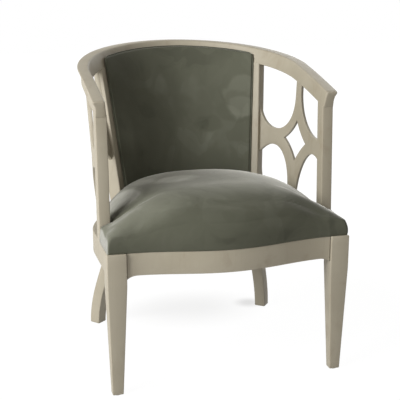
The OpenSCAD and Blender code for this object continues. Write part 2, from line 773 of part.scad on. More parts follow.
// The cushion's side at a height: it swells most between the posts, over the rails
function swell_at(p) = abs(p.x) > seat_half - cover_t && p.y > post_y + post_d && p.y < seat_turn_y ? side_swell :
    p.y < post_y ? cover_swell : 0;
function edge_ring(outline, inset, up_share, swell_share) = [for (p = outline)
    let (v = p - [0, crown_y], q = p + v / norm(v) * swell_at(p) * swell_share,
         low = seat_height + joint_gap)
    [q.x, q.y, low + (dome_top(p, 0, inset) - low) * up_share]];

in_outline = whole_outline(seat_half_outline(cover_t));
core_outline = whole_outline(seat_half_outline(cover_t + soft_gap));

module seat_cover() {
    out = whole_outline(seat_half_outline(0));
    color(velvet) from_front() skin(concat(
        [for (i = [len(dome_shares) - 1:-1:0]) dome_ring(in_outline, cover_t, dome_shares[i])],
        [edge_ring(in_outline, 0, 0, 0), edge_ring(out, 0, 0, 0),
         edge_ring(out, 0, 0.38, 1), edge_ring(out, 0, 0.78, 0.8)],
        [for (k = dome_shares) dome_ring(out, 0, k)]));
}

module seat_board() {
    color(bare_wood) from_front() difference() {
        translate([0, 0, seat_height + joint_gap]) linear_extrude(board_t) polygon(core_outline);
        seat_screw_set(screw_gap);
    }
}

module seat_foam() {
    low = seat_height + board_t + soft_gap;
    color(foam) from_front() skin(concat(
        [[for (p = core_outline) [p.x, p.y, low]]],
        [for (k = dome_shares) dome_ring(core_outline, cover_t + soft_gap, k)]));
}

// Dust cover and glides

module dust_cover() {
    lap = dust_lap;
    half = concat(
        [for (x = steps(0, leg_in - joint_gap, leg_in / 8)) [x, rail_front(x) + rail_t - lap]],
        [[seat_half + lap, rail_recess + rail_t - lap]],
        [for (s = steps(0, 1, 0.05)) let (p = rail_point(1 - s, 0, lap)) [p.x, p.y]]);
    color(black_cloth) from_front() difference() {
        translate([0, 0, rail_z - dust_t]) linear_extrude(dust_t - joint_gap) polygon(whole_outline(half));
        for (side = [-1, 1]) on_side(side) {
            translate([leg_in - bracket_run - soft_gap, -over, rail_z - over])
                cube([leg_top + bracket_run + over, leg_top + over + soft_gap, 2 * over]);
            rear_post_blank(rail_z - over, soft_gap);
        }
    }
}

module glides() {
    rear = rear_ring(0, 0);
    color(nylon) from_front() for (side = [-1, 1]) on_side(side) {
        translate([leg_x - taper_out - foot_w / 2, taper_front + foot_d / 2, 0])
            cylinder(h = glide_t, r = glide_r, $fn = 32);
        translate([(rear[0].x + rear[2].x) / 2, (rear[0].y + rear[2].y) / 2, 0])
            cylinder(h = glide_t, r = glide_r, $fn = 32);
    }
}

front_leg(-1);  // front_leg_left
front_leg(1);  // front_leg_right
rear_post(-1);  // rear_post_left
rear_post(1);  // rear_post_right
front_seat_rail();
side_seat_rail(-1);  // side_seat_rail_left
side_seat_rail(1);  // side_seat_rail_right
back_seat_rail();
arm_post(-1);  // arm_post_left
arm_post(1);  // arm_post_right
arm_rail(-1);  // arm_rail_left
arm_rail(1);  // arm_rail_right
crest_rail();
fret_panel(-1);  // fret_panel_left
fret_panel(1);  // fret_panel_right
lower_back_rail();
corner_block(-1, block_front_outline());  // corner_block_front_left
corner_block(1, block_front_outline());  // corner_block_front_right
corner_block(-1, block_rear_outline());  // corner_block_rear_left
corner_block(1, block_rear_outline());  // corner_block_rear_right
rail_dowels();
seat_screws();
seat_board();
seat_foam();
seat_cover();
back_webbing();
back_foam();
inside_back_cover();
back_welt();
outside_back_cover();
dust_cover();
glides();
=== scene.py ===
import logging
import math
from collections.abc import Callable, Sequence
from dataclasses import dataclass, field
from enum import Enum

import bmesh
import bpy
import numpy as np
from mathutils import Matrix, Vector, geometry
from mathutils.kdtree import KDTree


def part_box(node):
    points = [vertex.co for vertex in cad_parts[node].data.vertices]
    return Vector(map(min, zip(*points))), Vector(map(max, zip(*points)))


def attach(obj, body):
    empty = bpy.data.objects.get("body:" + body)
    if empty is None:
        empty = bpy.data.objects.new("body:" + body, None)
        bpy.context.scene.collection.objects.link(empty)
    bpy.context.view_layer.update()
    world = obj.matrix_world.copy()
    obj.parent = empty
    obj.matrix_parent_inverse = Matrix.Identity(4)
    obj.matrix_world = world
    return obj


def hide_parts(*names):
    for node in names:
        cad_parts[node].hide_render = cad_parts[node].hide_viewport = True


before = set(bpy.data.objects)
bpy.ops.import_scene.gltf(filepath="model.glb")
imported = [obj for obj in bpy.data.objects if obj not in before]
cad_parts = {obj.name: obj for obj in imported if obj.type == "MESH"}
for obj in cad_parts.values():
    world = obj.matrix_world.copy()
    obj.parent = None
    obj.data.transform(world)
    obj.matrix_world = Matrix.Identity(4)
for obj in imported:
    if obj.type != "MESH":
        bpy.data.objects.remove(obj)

LOG = logging.getLogger("barrel_chair")
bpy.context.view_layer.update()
BODY = "root"
Array = np.ndarray
Faces = list[tuple[int, ...]]
Skin = tuple[Array, Faces]
Place = tuple[float, float, float]
Colour = tuple[float, float, float]

# A leg stands on a glide, its foot softened by rings of a height and an inset.
GLIDE_T = 0.002
FOOT_EASING = ((GLIDE_T, 0.0011), (0.0026, 0.0004))
FOOT_FULL = 0.0035

# A post's last level ring lies this far under the top rail.
HEAD_GAP = 0.01


class Side(Enum):
    """The two sides of the chair, as seen from its front."""

    LEFT = -1
    RIGHT = 1

    @property
    def word(self) -> str:
        """The side's name in a piece's name."""
        return self.name.lower()


class Slot(Enum):
    """The material slots."""

    PAINT = "painted_wood"
    BARE = "bare_wood"
    VELVET = "velvet"
    FOAM = "foam"
    WEBBING = "webbing"
    DUST = "dust_cloth"
    STEEL = "screw_steel"
    NYLON = "nylon"


# Plan and wall of the barrel


@dataclass
class Horseshoe:
    """Half of a plan curve: straight beside the seat, then round to the middle of the back.

    Places on it are shares of its length, from 0 at the front to 1 at mid back.
    """

    half: float
    turn_y: float
    reach: float
    start_y: float
    lean: float = 0.08
    steps: int = 300

    def __post_init__(self) -> None:
        """Lay the curve out once, as points and their shares."""
        ys = np.linspace(self.start_y, self.turn_y, self.steps, endpoint=False)
        turn = np.linspace(0, math.pi / 2, 2 * self.steps)
        power = 1 + self.lean
        xs = self.half * np.clip(np.cos(turn), 0, 1) ** power
        round_ys = self.turn_y + self.reach * np.clip(np.sin(turn), 0, 1) ** power
        straight = np.stack([np.full_like(ys, self.half), ys], -1)
        self.points = np.concatenate([straight, np.stack([xs, round_ys], -1)])
        runs = np.cumsum(np.linalg.norm(np.diff(self.points, axis=0), axis=1))
        self.length = float(runs[-1])
        self.shares = np.concatenate([[0.0], runs / self.length])

    def at(self, share: Array) -> Array:
        """Plan points at shares of the curve."""
        return np.stack([np.interp(share, self.shares, self.points[:, k]) for k in (0, 1)], -1)


@dataclass
class Barrel:
    """The frame's inner face: straight lines from the seat's plan up to the crest's plan."""

    seat_height: float = 0.370
    arm_height: float = 0.719
    back_height: float = 0.812
    climb: float = 0.42
    crest_h: float = 0.042
    stile_share: float = 0.575
    probe: float = 0.004
    seat: Horseshoe = field(default_factory=lambda: Horseshoe(0.2805, 0.204, 0.275, 0.113))
    crest: Horseshoe = field(default_factory=lambda: Horseshoe(0.281, 0.340, 0.300, 0.116))

    def crest_top(self, share: Array) -> Array:
        """Height of the top rail's upper face at a share of the horseshoe.

        Args:
            share: Places round the horseshoe.

        Returns:
            The heights.
        """
        reach = self.crest.turn_y + self.crest.reach - self.crest.start_y
        v = (self.crest.at(share)[..., 1] - self.crest.start_y) / reach
        rise = self.back_height - self.arm_height
        return self.arm_height + rise * ((1 + self.climb) * v - self.climb * v * v)

    def crest_foot(self, share: Array) -> Array:
        """Height of the top rail's underside."""
        return self.crest_top(share) - self.crest_h

    def wall(self, share: Array, z: Array) -> Array:
        """Plan point of the inner face.

        Args:
            share: Places round the horseshoe.
            z: Heights.

        Returns:
            An array of X and Y, Y from the front of the legs.
        """
        k = ((z - self.seat_height) / (self.crest_top(share) - self.seat_height))[..., None]
        return (1 - k) * self.seat.at(share) + k * self.crest.at(share)

    def outward(self, share: Array, z: Array) -> Array:
        """Unit plan vectors square to the inner face, pointing out of the chair.

        Args:
            share: Places round the horseshoe.
            z: Height, or heights.

        Returns:
            The vectors' X and Y.
        """
        ahead = self.wall(np.clip(share - self.probe, 0, 1), z)
        behind = self.wall(np.clip(share + self.probe, 0, 1), z)
        run = behind - ahead
        run = run / np.linalg.norm(run, axis=-1, keepdims=True)
        return np.stack([run[..., 1], -run[..., 0]], -1)

    def point(self, u: Array, z: Array, depth: Array) -> Array:
        """Points round the barrel.

        Args:
            u: -1 at the left tip, 0 at mid back, 1 at the right tip.
            z: Heights.
            depth: Distance behind the inner face.

        Returns:
            An array of X, Y and Z.
        """
        u, z, depth = np.broadcast_arrays(*(np.asarray(v, float) for v in (u, z, depth)))
        share = 1 - np.abs(u)
        plan = self.wall(share, z) + depth[..., None] * self.outward(share, z)
        return np.stack([np.sign(u) * plan[..., 0], plan[..., 1], z], -1)

    def upright(self, u: Array, z: Array, depth: Array) -> Array:
        """The same with upright faces that follow the seat's plan.

        Args:
            u: Place round the barrel.
            z: Height, or heights.
            depth: Distance behind the inner face.

        Returns:
            An array of X, Y and Z.
        """
        u, z, depth = np.broadcast_arrays(*(np.asarray(v, float) for v in (u, z, depth)))
        points = self.point(u, np.full(u.shape, self.seat_height), depth)
        points[..., 2] = z
        return points

    def share_near(self, plan: Array, z: Array) -> Array:
        """Share of the horseshoe nearest to plan points on the right side of the chair.

        Args:
            plan: Plan points.
            z: Height, or heights.

        Returns:
            The share of each point.
        """
        grid = np.linspace(0, 1, 1201)
        found = []
        for (x, y), height in zip(np.reshape(plan, (-1, 2)), np.ravel(z)):
            gap = self.wall(grid, np.full_like(grid, height)) - (abs(x), y)
            found.append(grid[np.argmin((gap**2).sum(-1))])
        return np.array(found)

    def trimmed(self, ring: Array, tenon: float) -> Array:
        """A post's last ring, let up by a tenon into the top rail's sloping underside."""
        ring[:, 2] = self.crest_foot(self.share_near(ring[:, :2], ring[:, 2])) + tenon
        return ring


# Mesh making


def margin(a: Array, v: Array, wide: Array | float, tall: float) -> Array:
    """Distance to a panel's nearest edge, at shares of its width and height."""
    return np.minimum(np.minimum(a, 1 - a) * wide, np.minimum(v, 1 - v) * tall)


def unit(v: Array) -> Array:
    """The vector or vectors at length 1."""
    return v / np.maximum(np.linalg.norm(v, axis=-1, keepdims=True), 1e-12)


def quarter(share: Array) -> Array:
    """Height of a quarter round of height 1 at shares of its run."""
    return np.sqrt(1 - (1 - np.clip(share, 0, 1)) ** 2)


def eased(k: Array | float) -> Array | float:
    """A smooth rise from 0 to 1."""
    return k * k * (3 - 2 * k)


def raised(plan: Array, z: Array | float) -> Array:
    """Plan points lifted to one height, or each to its own."""
    return np.column_stack([plan, np.broadcast_to(z, len(plan))])


def mirrored(half: Array) -> Array:
    """A closed outline from its right half, which starts and ends on the chair's middle."""
    return np.concatenate([half, half[-2:0:-1] * (-1, 1)])


def rounded(corners: Sequence[Sequence[float]], radius: float | Sequence[float], steps: int = 4) -> Array:
    """Turn the corners of a closed outline into arcs.

    Args:
        corners: The outline's sharp corners in order.
        radius: One radius, or one for each corner.
        steps: Steps in each arc.

    Returns:
        The points of the softened outline.
    """
    pts = np.asarray(corners, float)
    radii = np.broadcast_to(radius, len(pts))
    out = []
    for i, here in enumerate(pts):
        to_last, to_next = pts[i - 1] - here, pts[(i + 1) % len(pts)] - here
        a, b = unit(to_last), unit(to_next)
        half = math.acos(float(np.clip(a @ b, -1, 1))) / 2
        reach = min(radii[i] / math.tan(half), 0.45 * min(np.linalg.norm(to_last), np.linalg.norm(to_next)))
        centre = here + unit(a + b) * reach / math.cos(half)
        start, end = here + a * reach - centre, here + b * reach - centre
        turn = math.atan2(start[0] * end[1] - start[1] * end[0], float(start @ end))
        for k in range(steps + 1):
            c, s = math.cos(turn * k / steps), math.sin(turn * k / steps)
            out.append(centre + (c * start[0] - s * start[1], s * start[0] + c * start[1]))
    return np.array(out)


def shrunk(outline: Array, inset: float) -> Array:
    """The outline drawn in towards its middle, by the same amount on all its sides.

    Args:
        outline: The outline's points.
        inset: How far the outline is drawn in.

    Returns:
        The points of the smaller outline.
    """
    low, high = outline.min(0), outline.max(0)
    mid = (low + high) / 2
    return mid + (outline - mid) * (1 - 2 * inset / (high - low))


def loft(rings: Array | Sequence[Array]) -> Skin:
    """Skin a stack of closed rings of equal count, with a face at each end.

    Args:
        rings: Rings by points by three.

    Returns:
        The vertices and the faces.
    """
    rings = np.asarray(rings)
    m, n = rings.shape[:2]
    faces: Faces = [
        (j * n + i, j * n + (i + 1) % n, (j + 1) * n + (i + 1) % n, (j + 1) * n + i)
        for j in range(m - 1)
        for i in range(n)
    ]
    faces += [tuple(reversed(range(n))), tuple((m - 1) * n + i for i in range(n))]
    return rings.reshape(-1, 3), faces


def slab(front: Array, back: Array) -> Skin:
    """Skin a thin body between two grids of points of equal size.

    Args:
        front: Its one face, rows by columns by three.
        back: Its other face.

    Returns:
        The vertices and the faces.
    """
    m, n = front.shape[:2]
    size = m * n
    cells = [(i * n + j, i * n + j + 1, (i + 1) * n + j + 1, (i + 1) * n + j)
             for i in range(m - 1) for j in range(n - 1)]
    faces: Faces = cells + [tuple(size + q for q in reversed(f)) for f in cells]
    rim = [i * n for i in range(m)] + [(m - 1) * n + j for j in range(1, n)]
    rim += [i * n + n - 1 for i in range(m - 2, -1, -1)] + list(range(n - 2, 0, -1))
    faces += [(a, b, size + b, size + a) for a, b in zip(rim, rim[1:] + rim[:1])]
    return np.concatenate([front.reshape(-1, 3), back.reshape(-1, 3)]), faces


def spread(low: float, high: float, pitch: float) -> Array:
    """Even steps from low to high, no further apart than the pitch."""
    return np.linspace(low, high, max(2, math.ceil(abs(high - low) / pitch) + 1))


@dataclass
class Workshop:
    """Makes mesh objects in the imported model's frame and hangs them on the chair's body.

    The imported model's origin lies origin_y behind the front of the legs.
    """

    origin_y: float

    def piece(
        self,
        name: str,
        verts: Array,
        faces: Faces,
        stands_for: Sequence[str] = (),
        side: Side = Side.RIGHT,
        sharp: float = 38,
    ) -> bpy.types.Object:
        """Make one piece of the chair.

        Args:
            name: The piece's name.
            verts: Its vertices, Y from the front of the legs.
            faces: Its faces.
            stands_for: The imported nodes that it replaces.
            side: LEFT mirrors the vertices across the chair.
            sharp: Angle in degrees over which an edge stays crisp.

        Returns:
            The new object.
        """
        mesh = bpy.data.meshes.new(name)
        placed = (np.asarray(verts) - (0, self.origin_y, 0)) * (side.value, 1, 1)
        mesh.from_pydata(placed.tolist(), [], faces)
        shape = bmesh.new()
        shape.from_mesh(mesh)
        bmesh.ops.recalc_face_normals(shape, faces=shape.faces)
        shape.to_mesh(mesh)
        shape.free()
        mesh.shade_smooth()
        mesh.set_sharp_from_angle(angle=math.radians(sharp))
        obj = bpy.data.objects.new(name, mesh)
        bpy.context.scene.collection.objects.link(obj)
        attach(obj, BODY)
        if stands_for:
            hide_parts(*stands_for)
        LOG.info("made %s with %d faces", name, len(faces))
        return obj

    def pair(self, node: str, skin: Skin) -> list[bpy.types.Object]:
        """Make a painted piece on each side of the chair from the right one's skin."""
        return [self.piece(f"{node}_{s.word}_painted", *skin, [f"{node}_{s.word}"], s) for s in Side]


# Frame


@dataclass
class ArmPosts:
    """Leaning posts that carry the arm tips."""

    barrel: Barrel
    front_y: float = 0.113
    width: float = 0.0285
    depth: float = 0.036
    lean: float = 0.047
    edge_r: float = 0.0022
    tenon: float = 0.002
    pitch: float = 0.02

    def ring(self, z: float) -> Array:
        """The post's softened outline at a height.

        Args:
            z: The height.

        Returns:
            The ring's points.
        """
        x, y = self.barrel.seat.half, self.front_y + self.lean * (z - self.barrel.seat_height)
        corners = [(x, y), (x + self.width, y), (x + self.width, y + self.depth), (x, y + self.depth)]
        return raised(rounded(corners, self.edge_r), z)

    def build(self, shop: Workshop) -> list[bpy.types.Object]:
        """Make both posts, trimmed under the arms.

        Args:
            shop: Makes the pieces.

        Returns:
            The pieces made.
        """
        top = float(self.barrel.crest_foot(np.array(0.0)))
        heights = spread(self.barrel.seat_height - self.tenon, top - HEAD_GAP, self.pitch)
        last = self.barrel.trimmed(self.ring(top), self.tenon)
        return shop.pair("arm_post", loft([*(self.ring(z) for z in heights), last]))


@dataclass
class TopRail:
    """The horseshoe top rail in its three sections: crest, left arm and right arm."""

    barrel: Barrel
    post: ArmPosts
    width: float = 0.030
    foot_w: float = 0.0285
    flare: float = 0.005
    joint_share: float = 0.62
    hairline: float = 0.00005
    edge_r: float = 0.0046
    tip_r: float = 0.0042
    tip_run: float = 0.026
    tip_cuts: tuple[tuple[float, float], ...] = ((0.014, 0.45), (0.007, 0.75))

    def section(self) -> Array:
        """Depth and height outline of the rail, its outer side hollowed under the top edge.

        Returns:
            The outline's points.
        """
        h, out = self.barrel.crest_h, self.flare + self.width
        corners = [
            (0, 0), (self.flare, h), (out, h), (out - 0.0004, 0.90 * h),
            (out - 0.0048, 0.72 * h), (out - 0.0068, 0.45 * h), (self.foot_w, 0),
        ]
        return rounded(corners, [0.0016, self.edge_r, 0.0028, 0.002, 0.008, 0.012, 0.0016], 5)

    def ring(self, u: float, section: Array, ahead: float = 0.0, shear: float = 0.0) -> Array:
        """One ring of the rail.

        Args:
            u: Place round the barrel.
            section: Depth and height outline.
            ahead: How far the ring is moved towards the front.
            shear: Share of the tip's cut-back that the ring takes.

        Returns:
            The ring's points.
        """
        foot = float(self.barrel.crest_foot(np.array(1 - abs(u))))
        points = self.barrel.point(u, foot + section[:, 1], section[:, 0])
        front = self.post.front_y + self.post.lean * (foot - self.barrel.seat_height)
        cut = front - self.barrel.crest.start_y
        points[:, 1] += shear * cut * (1 - section[:, 1] / self.barrel.crest_h) - ahead
        return points

    def build(self, shop: Workshop) -> list[bpy.types.Object]:
        """Make the crest and both arms.

        Args:
            shop: Makes the pieces.

        Returns:
            The pieces made.
        """
        section, length = self.section(), self.barrel.crest.length
        joint = 1 - self.joint_share
        crest = [self.ring(u, section) for u in np.linspace(-joint, joint, 121)]
        run = np.linspace(joint + self.hairline / length, 1 - self.tip_run / length, 80)
        arm = [self.ring(u, section) for u in run]
        arm += [self.ring(1 - back / length, section, 0, shear) for back, shear in self.tip_cuts]
        for turn in np.linspace(0, math.pi / 2, 6):
            inset = self.tip_r * (1 - math.cos(turn))
            back = self.tip_r * (1 - math.sin(turn))
            arm.append(self.ring(1, shrunk(section, inset), -back, 1))
        return [shop.piece("crest_rail_painted", *loft(crest), ["crest_rail"]), *shop.pair("arm_rail", loft(arm))]


@dataclass
class RearPosts:
    """Splayed rear legs, each in one piece with its back stile."""

    barrel: Barrel
    foot_at: tuple[float, float] = (0.259, 0.482)
    foot: float = 0.0325
    hip: float = 0.036
    head: float = 0.028
    hip_h: float = 0.270
    turn: float = 50
    knee_h: float = 0.400
    hip_shift: tuple[float, float] = (-0.0525, -0.063)
    hip_slope: tuple[float, float] = (-0.20, -0.32)
    edge_r: float = 0.0028
    post_d: float = 0.036
    tenon: float = 0.002
    swell: float = 0.0065
    swell_z: tuple[float, ...] = (0.27, 0.35, 0.425, 0.462)
    rise_z: tuple[float, float] = (0.370, 0.452)
    rise_run: float = 0.082
    pitch: tuple[float, float] = (0.006, 0.012)

    def corner(self, z: float) -> Array:
        """Plan place of the post's inner front corner at a height.

        Args:
            z: The height.

        Returns:
            X and Y, Y from the front of the legs.
        """
        foot, slope = np.array(self.foot_at), np.array(self.hip_slope)
        hip = foot + self.hip_shift
        if z >= self.knee_h:
            return self.inner(z)
        if z < self.hip_h:
            return self.ease(foot, hip, np.zeros(2), slope * self.hip_h, z / self.hip_h)
        run = self.knee_h - self.hip_h
        low, high = (self.inner(level) for level in self.rise_z)
        rise = (high - low) / self.rise_run * run
        return self.ease(hip, self.inner(self.knee_h), slope * run, rise, (z - self.hip_h) / run)

    def inner(self, z: float) -> Array:
        """Plan place of the barrel's inner face at the stile."""
        return self.barrel.wall(np.array(self.barrel.stile_share), np.array(z))

    @staticmethod
    def ease(p0: Array, p1: Array, m0: Array, m1: Array, t: float) -> Array:
        """A cubic from p0 to p1 that leaves with slope m0 and arrives with slope m1."""
        t2, t3 = t * t, t * t * t
        return (1 - 3 * t2 + 2 * t3) * p0 + (3 * t2 - 2 * t3) * p1 + (t3 - 2 * t2 + t) * m0 + (t3 - t2) * m1

    def size(self, z: float) -> float:
        """Side of the post's square at a height.

        Args:
            z: The height.

        Returns:
            The length of the side.
        """
        if z < self.hip_h:
            return self.foot + (self.hip - self.foot) * z / self.hip_h
        return self.hip + (self.head - self.hip) * (z - self.hip_h) / (self.barrel.back_height - self.hip_h)

    def swelled(self, z: float) -> float:
        """How far the post's outer face swells at a height, most where the rails meet it.

        Args:
            z: The height.

        Returns:
            The swell.
        """
        low, full, fall, high = self.swell_z
        k = max(0.0, min(1.0, (z - low) / (full - low), (high - z) / (high - fall)))
        return self.swell * eased(k)

    def out(self, z: float) -> Array:
        """Plan direction in which the post's square faces at a height.

        Args:
            z: The height.

        Returns:
            A plan vector of length 1.
        """
        share = np.array(self.barrel.stile_share + self.post_d / 2 / self.barrel.seat.length)
        wall = self.barrel.outward(share, np.array(max(z, self.barrel.seat_height)))
        turn = math.radians(self.turn)
        k = min(1.0, z / self.barrel.seat_height)
        return unit((1 - k) * np.array([math.cos(turn), math.sin(turn)]) + k * wall)

    def ring(self, z: float, inset: float = 0.0) -> Array:
        """The post's softened square at a height, drawn in by an inset.

        Args:
            z: The height.
            inset: How far the outline is drawn in.

        Returns:
            The ring's points.
        """
        w, n = self.size(z), self.out(z)
        t = np.array([-n[1], n[0]])
        far = w + self.swelled(z) - inset
        square = rounded([(inset, inset), (far, inset), (far, w - inset), (inset, w - inset)], self.edge_r)
        return raised(self.corner(z) + square[:, :1] * n + square[:, 1:] * t, z)

    def build(self, shop: Workshop) -> list[bpy.types.Object]:
        """Make both posts, trimmed under the top rail.

        Args:
            shop: Makes the pieces.

        Returns:
            The pieces made.
        """
        top = float(self.barrel.crest_foot(np.array(self.barrel.stile_share)))
        leg = spread(FOOT_FULL, self.knee_h, self.pitch[0])
        stile = spread(self.knee_h, top - HEAD_GAP, self.pitch[1])[1:]
        rings = [self.ring(z, inset) for z, inset in FOOT_EASING] + [self.ring(z) for z in (*leg, *stile)]
        rings.append(self.barrel.trimmed(self.ring(top), self.tenon))
        return shop.pair("rear_post", loft(rings))


@dataclass
class FrontLegs:
    """Square blocks under the seat's corners that taper to small feet."""

    outer_x: float = 0.311
    block: float = 0.048
    seat_height: float = 0.370
    block_h: float = 0.082
    foot_w: float = 0.0275
    foot_d: float = 0.0235
    taper_out: float = 0.008
    taper_front: float = 0.012
    edge_r: float = 0.0022
    block_z: tuple[float, float] = (0.32, 0.3680)
    top_easing: tuple[tuple[float, float], ...] = ((0.3693, 0.0004), (0.370, 0.0012))
    pitch: tuple[float, float] = (0.03, 0.02)

    def ring(self, z: float, inset: float = 0.0) -> Array:
        """The leg's softened outline at a height.

        Args:
            z: The height.
            inset: How far the outline is drawn in.

        Returns:
            The ring's points.
        """
        k = min(1.0, (z - GLIDE_T) / (self.seat_height - self.block_h - GLIDE_T))
        low = np.array([self.outer_x - self.taper_out - self.foot_w, self.taper_front])
        high = np.array([self.outer_x - self.block, 0])
        near = (1 - k) * low + k * high
        far = (1 - k) * (low + (self.foot_w, self.foot_d)) + k * (high + self.block)
        near, far = near + inset, far - inset
        return raised(rounded([near, (far[0], near[1]), far, (near[0], far[1])], self.edge_r), z)

    def build(self, shop: Workshop) -> list[bpy.types.Object]:
        """Make both legs.

        Args:
            shop: Makes the pieces.

        Returns:
            The pieces made.
        """
        shoulder = self.seat_height - self.block_h
        taper = (FOOT_FULL, *spread(0.02, shoulder - 0.002, self.pitch[0]), shoulder + 0.002)
        full = [(z, 0.0) for z in (*taper, *spread(*self.block_z, self.pitch[1]))]
        return shop.pair("front_leg", loft([self.ring(*at) for at in (*FOOT_EASING, *full, *self.top_easing)]))


@dataclass
class SeatRails:
    """Bowed rails under the seat: a serpentine front, curved sides and a curved back."""

    barrel: Barrel
    depth: float = 0.058
    thick: float = 0.0285
    recess: float = 0.007
    bow: float = 0.038
    leg_block: float = 0.048
    leg_in: float = 0.263
    bracket_drop: float = 0.014
    bracket_run: float = 0.030
    joint: float = 0.0020
    edge_r: float = 0.002
    tenon: float = 0.006
    post_d: float = 0.036

    def front_y(self, x: Array) -> Array:
        """Front face of the front rail at places across the chair."""
        return self.recess - self.bow * (1 + np.cos(np.pi * np.abs(x) / self.leg_in)) / 2

    def lower_z(self, x: Array) -> Array:
        """Lower edge of the front rail, with its brackets.

        Args:
            x: Places across the chair.

        Returns:
            The heights.
        """
        low = self.barrel.seat_height - self.depth
        t = (self.leg_in - np.abs(x)) / self.bracket_run
        return low - self.bracket_drop * (1 - quarter(t))

    def section(self, low: float, high: float) -> Array:
        """Softened depth and height outline of a rail."""
        return rounded([(0, low), (0, high), (self.thick, high), (self.thick, low)], self.edge_r)

    def front(self, shop: Workshop) -> bpy.types.Object:
        """Make the front rail.

        Args:
            shop: Makes the pieces.

        Returns:
            The piece made.
        """
        turn = np.linspace(0, math.pi / 2, 12)
        ends = self.leg_in - self.joint - self.bracket_run * (1 - np.cos(turn))
        xs = np.concatenate([-ends, spread(-ends[-1], ends[-1], 0.008)[1:-1], ends[::-1]])
        rings = []
        for x, y, low in zip(xs, self.front_y(xs), self.lower_z(xs)):
            outline = self.section(low, self.barrel.seat_height)
            rings.append(np.column_stack([np.full(len(outline), x), outline[:, 0] + y, outline[:, 1]]))
        return shop.piece("front_seat_rail_painted", *loft(rings), ["front_seat_rail"])

    def sweep(self, points: Array, outward: Array) -> Array:
        """Rings of an upright rail along plan points, thickness outwards."""
        outline = self.section(self.barrel.seat_height - self.depth, self.barrel.seat_height)
        return np.array([raised(p + outline[:, :1] * n, outline[:, 1]) for p, n in zip(points, outward)])

    def build(self, shop: Workshop) -> list[bpy.types.Object]:
        """Make all four rails.

        Args:
            shop: Makes the pieces.

        Returns:
            The pieces made.
        """
        height, length = self.barrel.seat_height, self.barrel.seat.length
        end = self.barrel.stile_share + self.tenon / length
        shares = np.linspace(0, end, 90)
        level = np.full_like(shares, height)
        ahead = spread(self.leg_block - 0.001, self.barrel.seat.start_y, 0.02)[:-1]
        plan = np.concatenate([np.stack([np.full_like(ahead, self.barrel.seat.half), ahead], -1),
                               self.barrel.wall(shares, level)])
        out = np.concatenate([np.tile([1.0, 0.0], (len(ahead), 1)), self.barrel.outward(shares, level)])
        start = self.barrel.stile_share + (self.post_d - self.tenon) / length
        us = np.linspace(-(1 - start), 1 - start, 100)
        inner = self.barrel.upright(us, height, 0.0)[:, :2]
        outer = self.barrel.upright(us, height, 1.0)[:, :2]
        return [
            self.front(shop),
            *shop.pair("side_seat_rail", loft(self.sweep(plan, out))),
            shop.piece("back_seat_rail_painted", *loft(self.sweep(inner, outer - inner)), ["back_seat_rail"]),
        ]


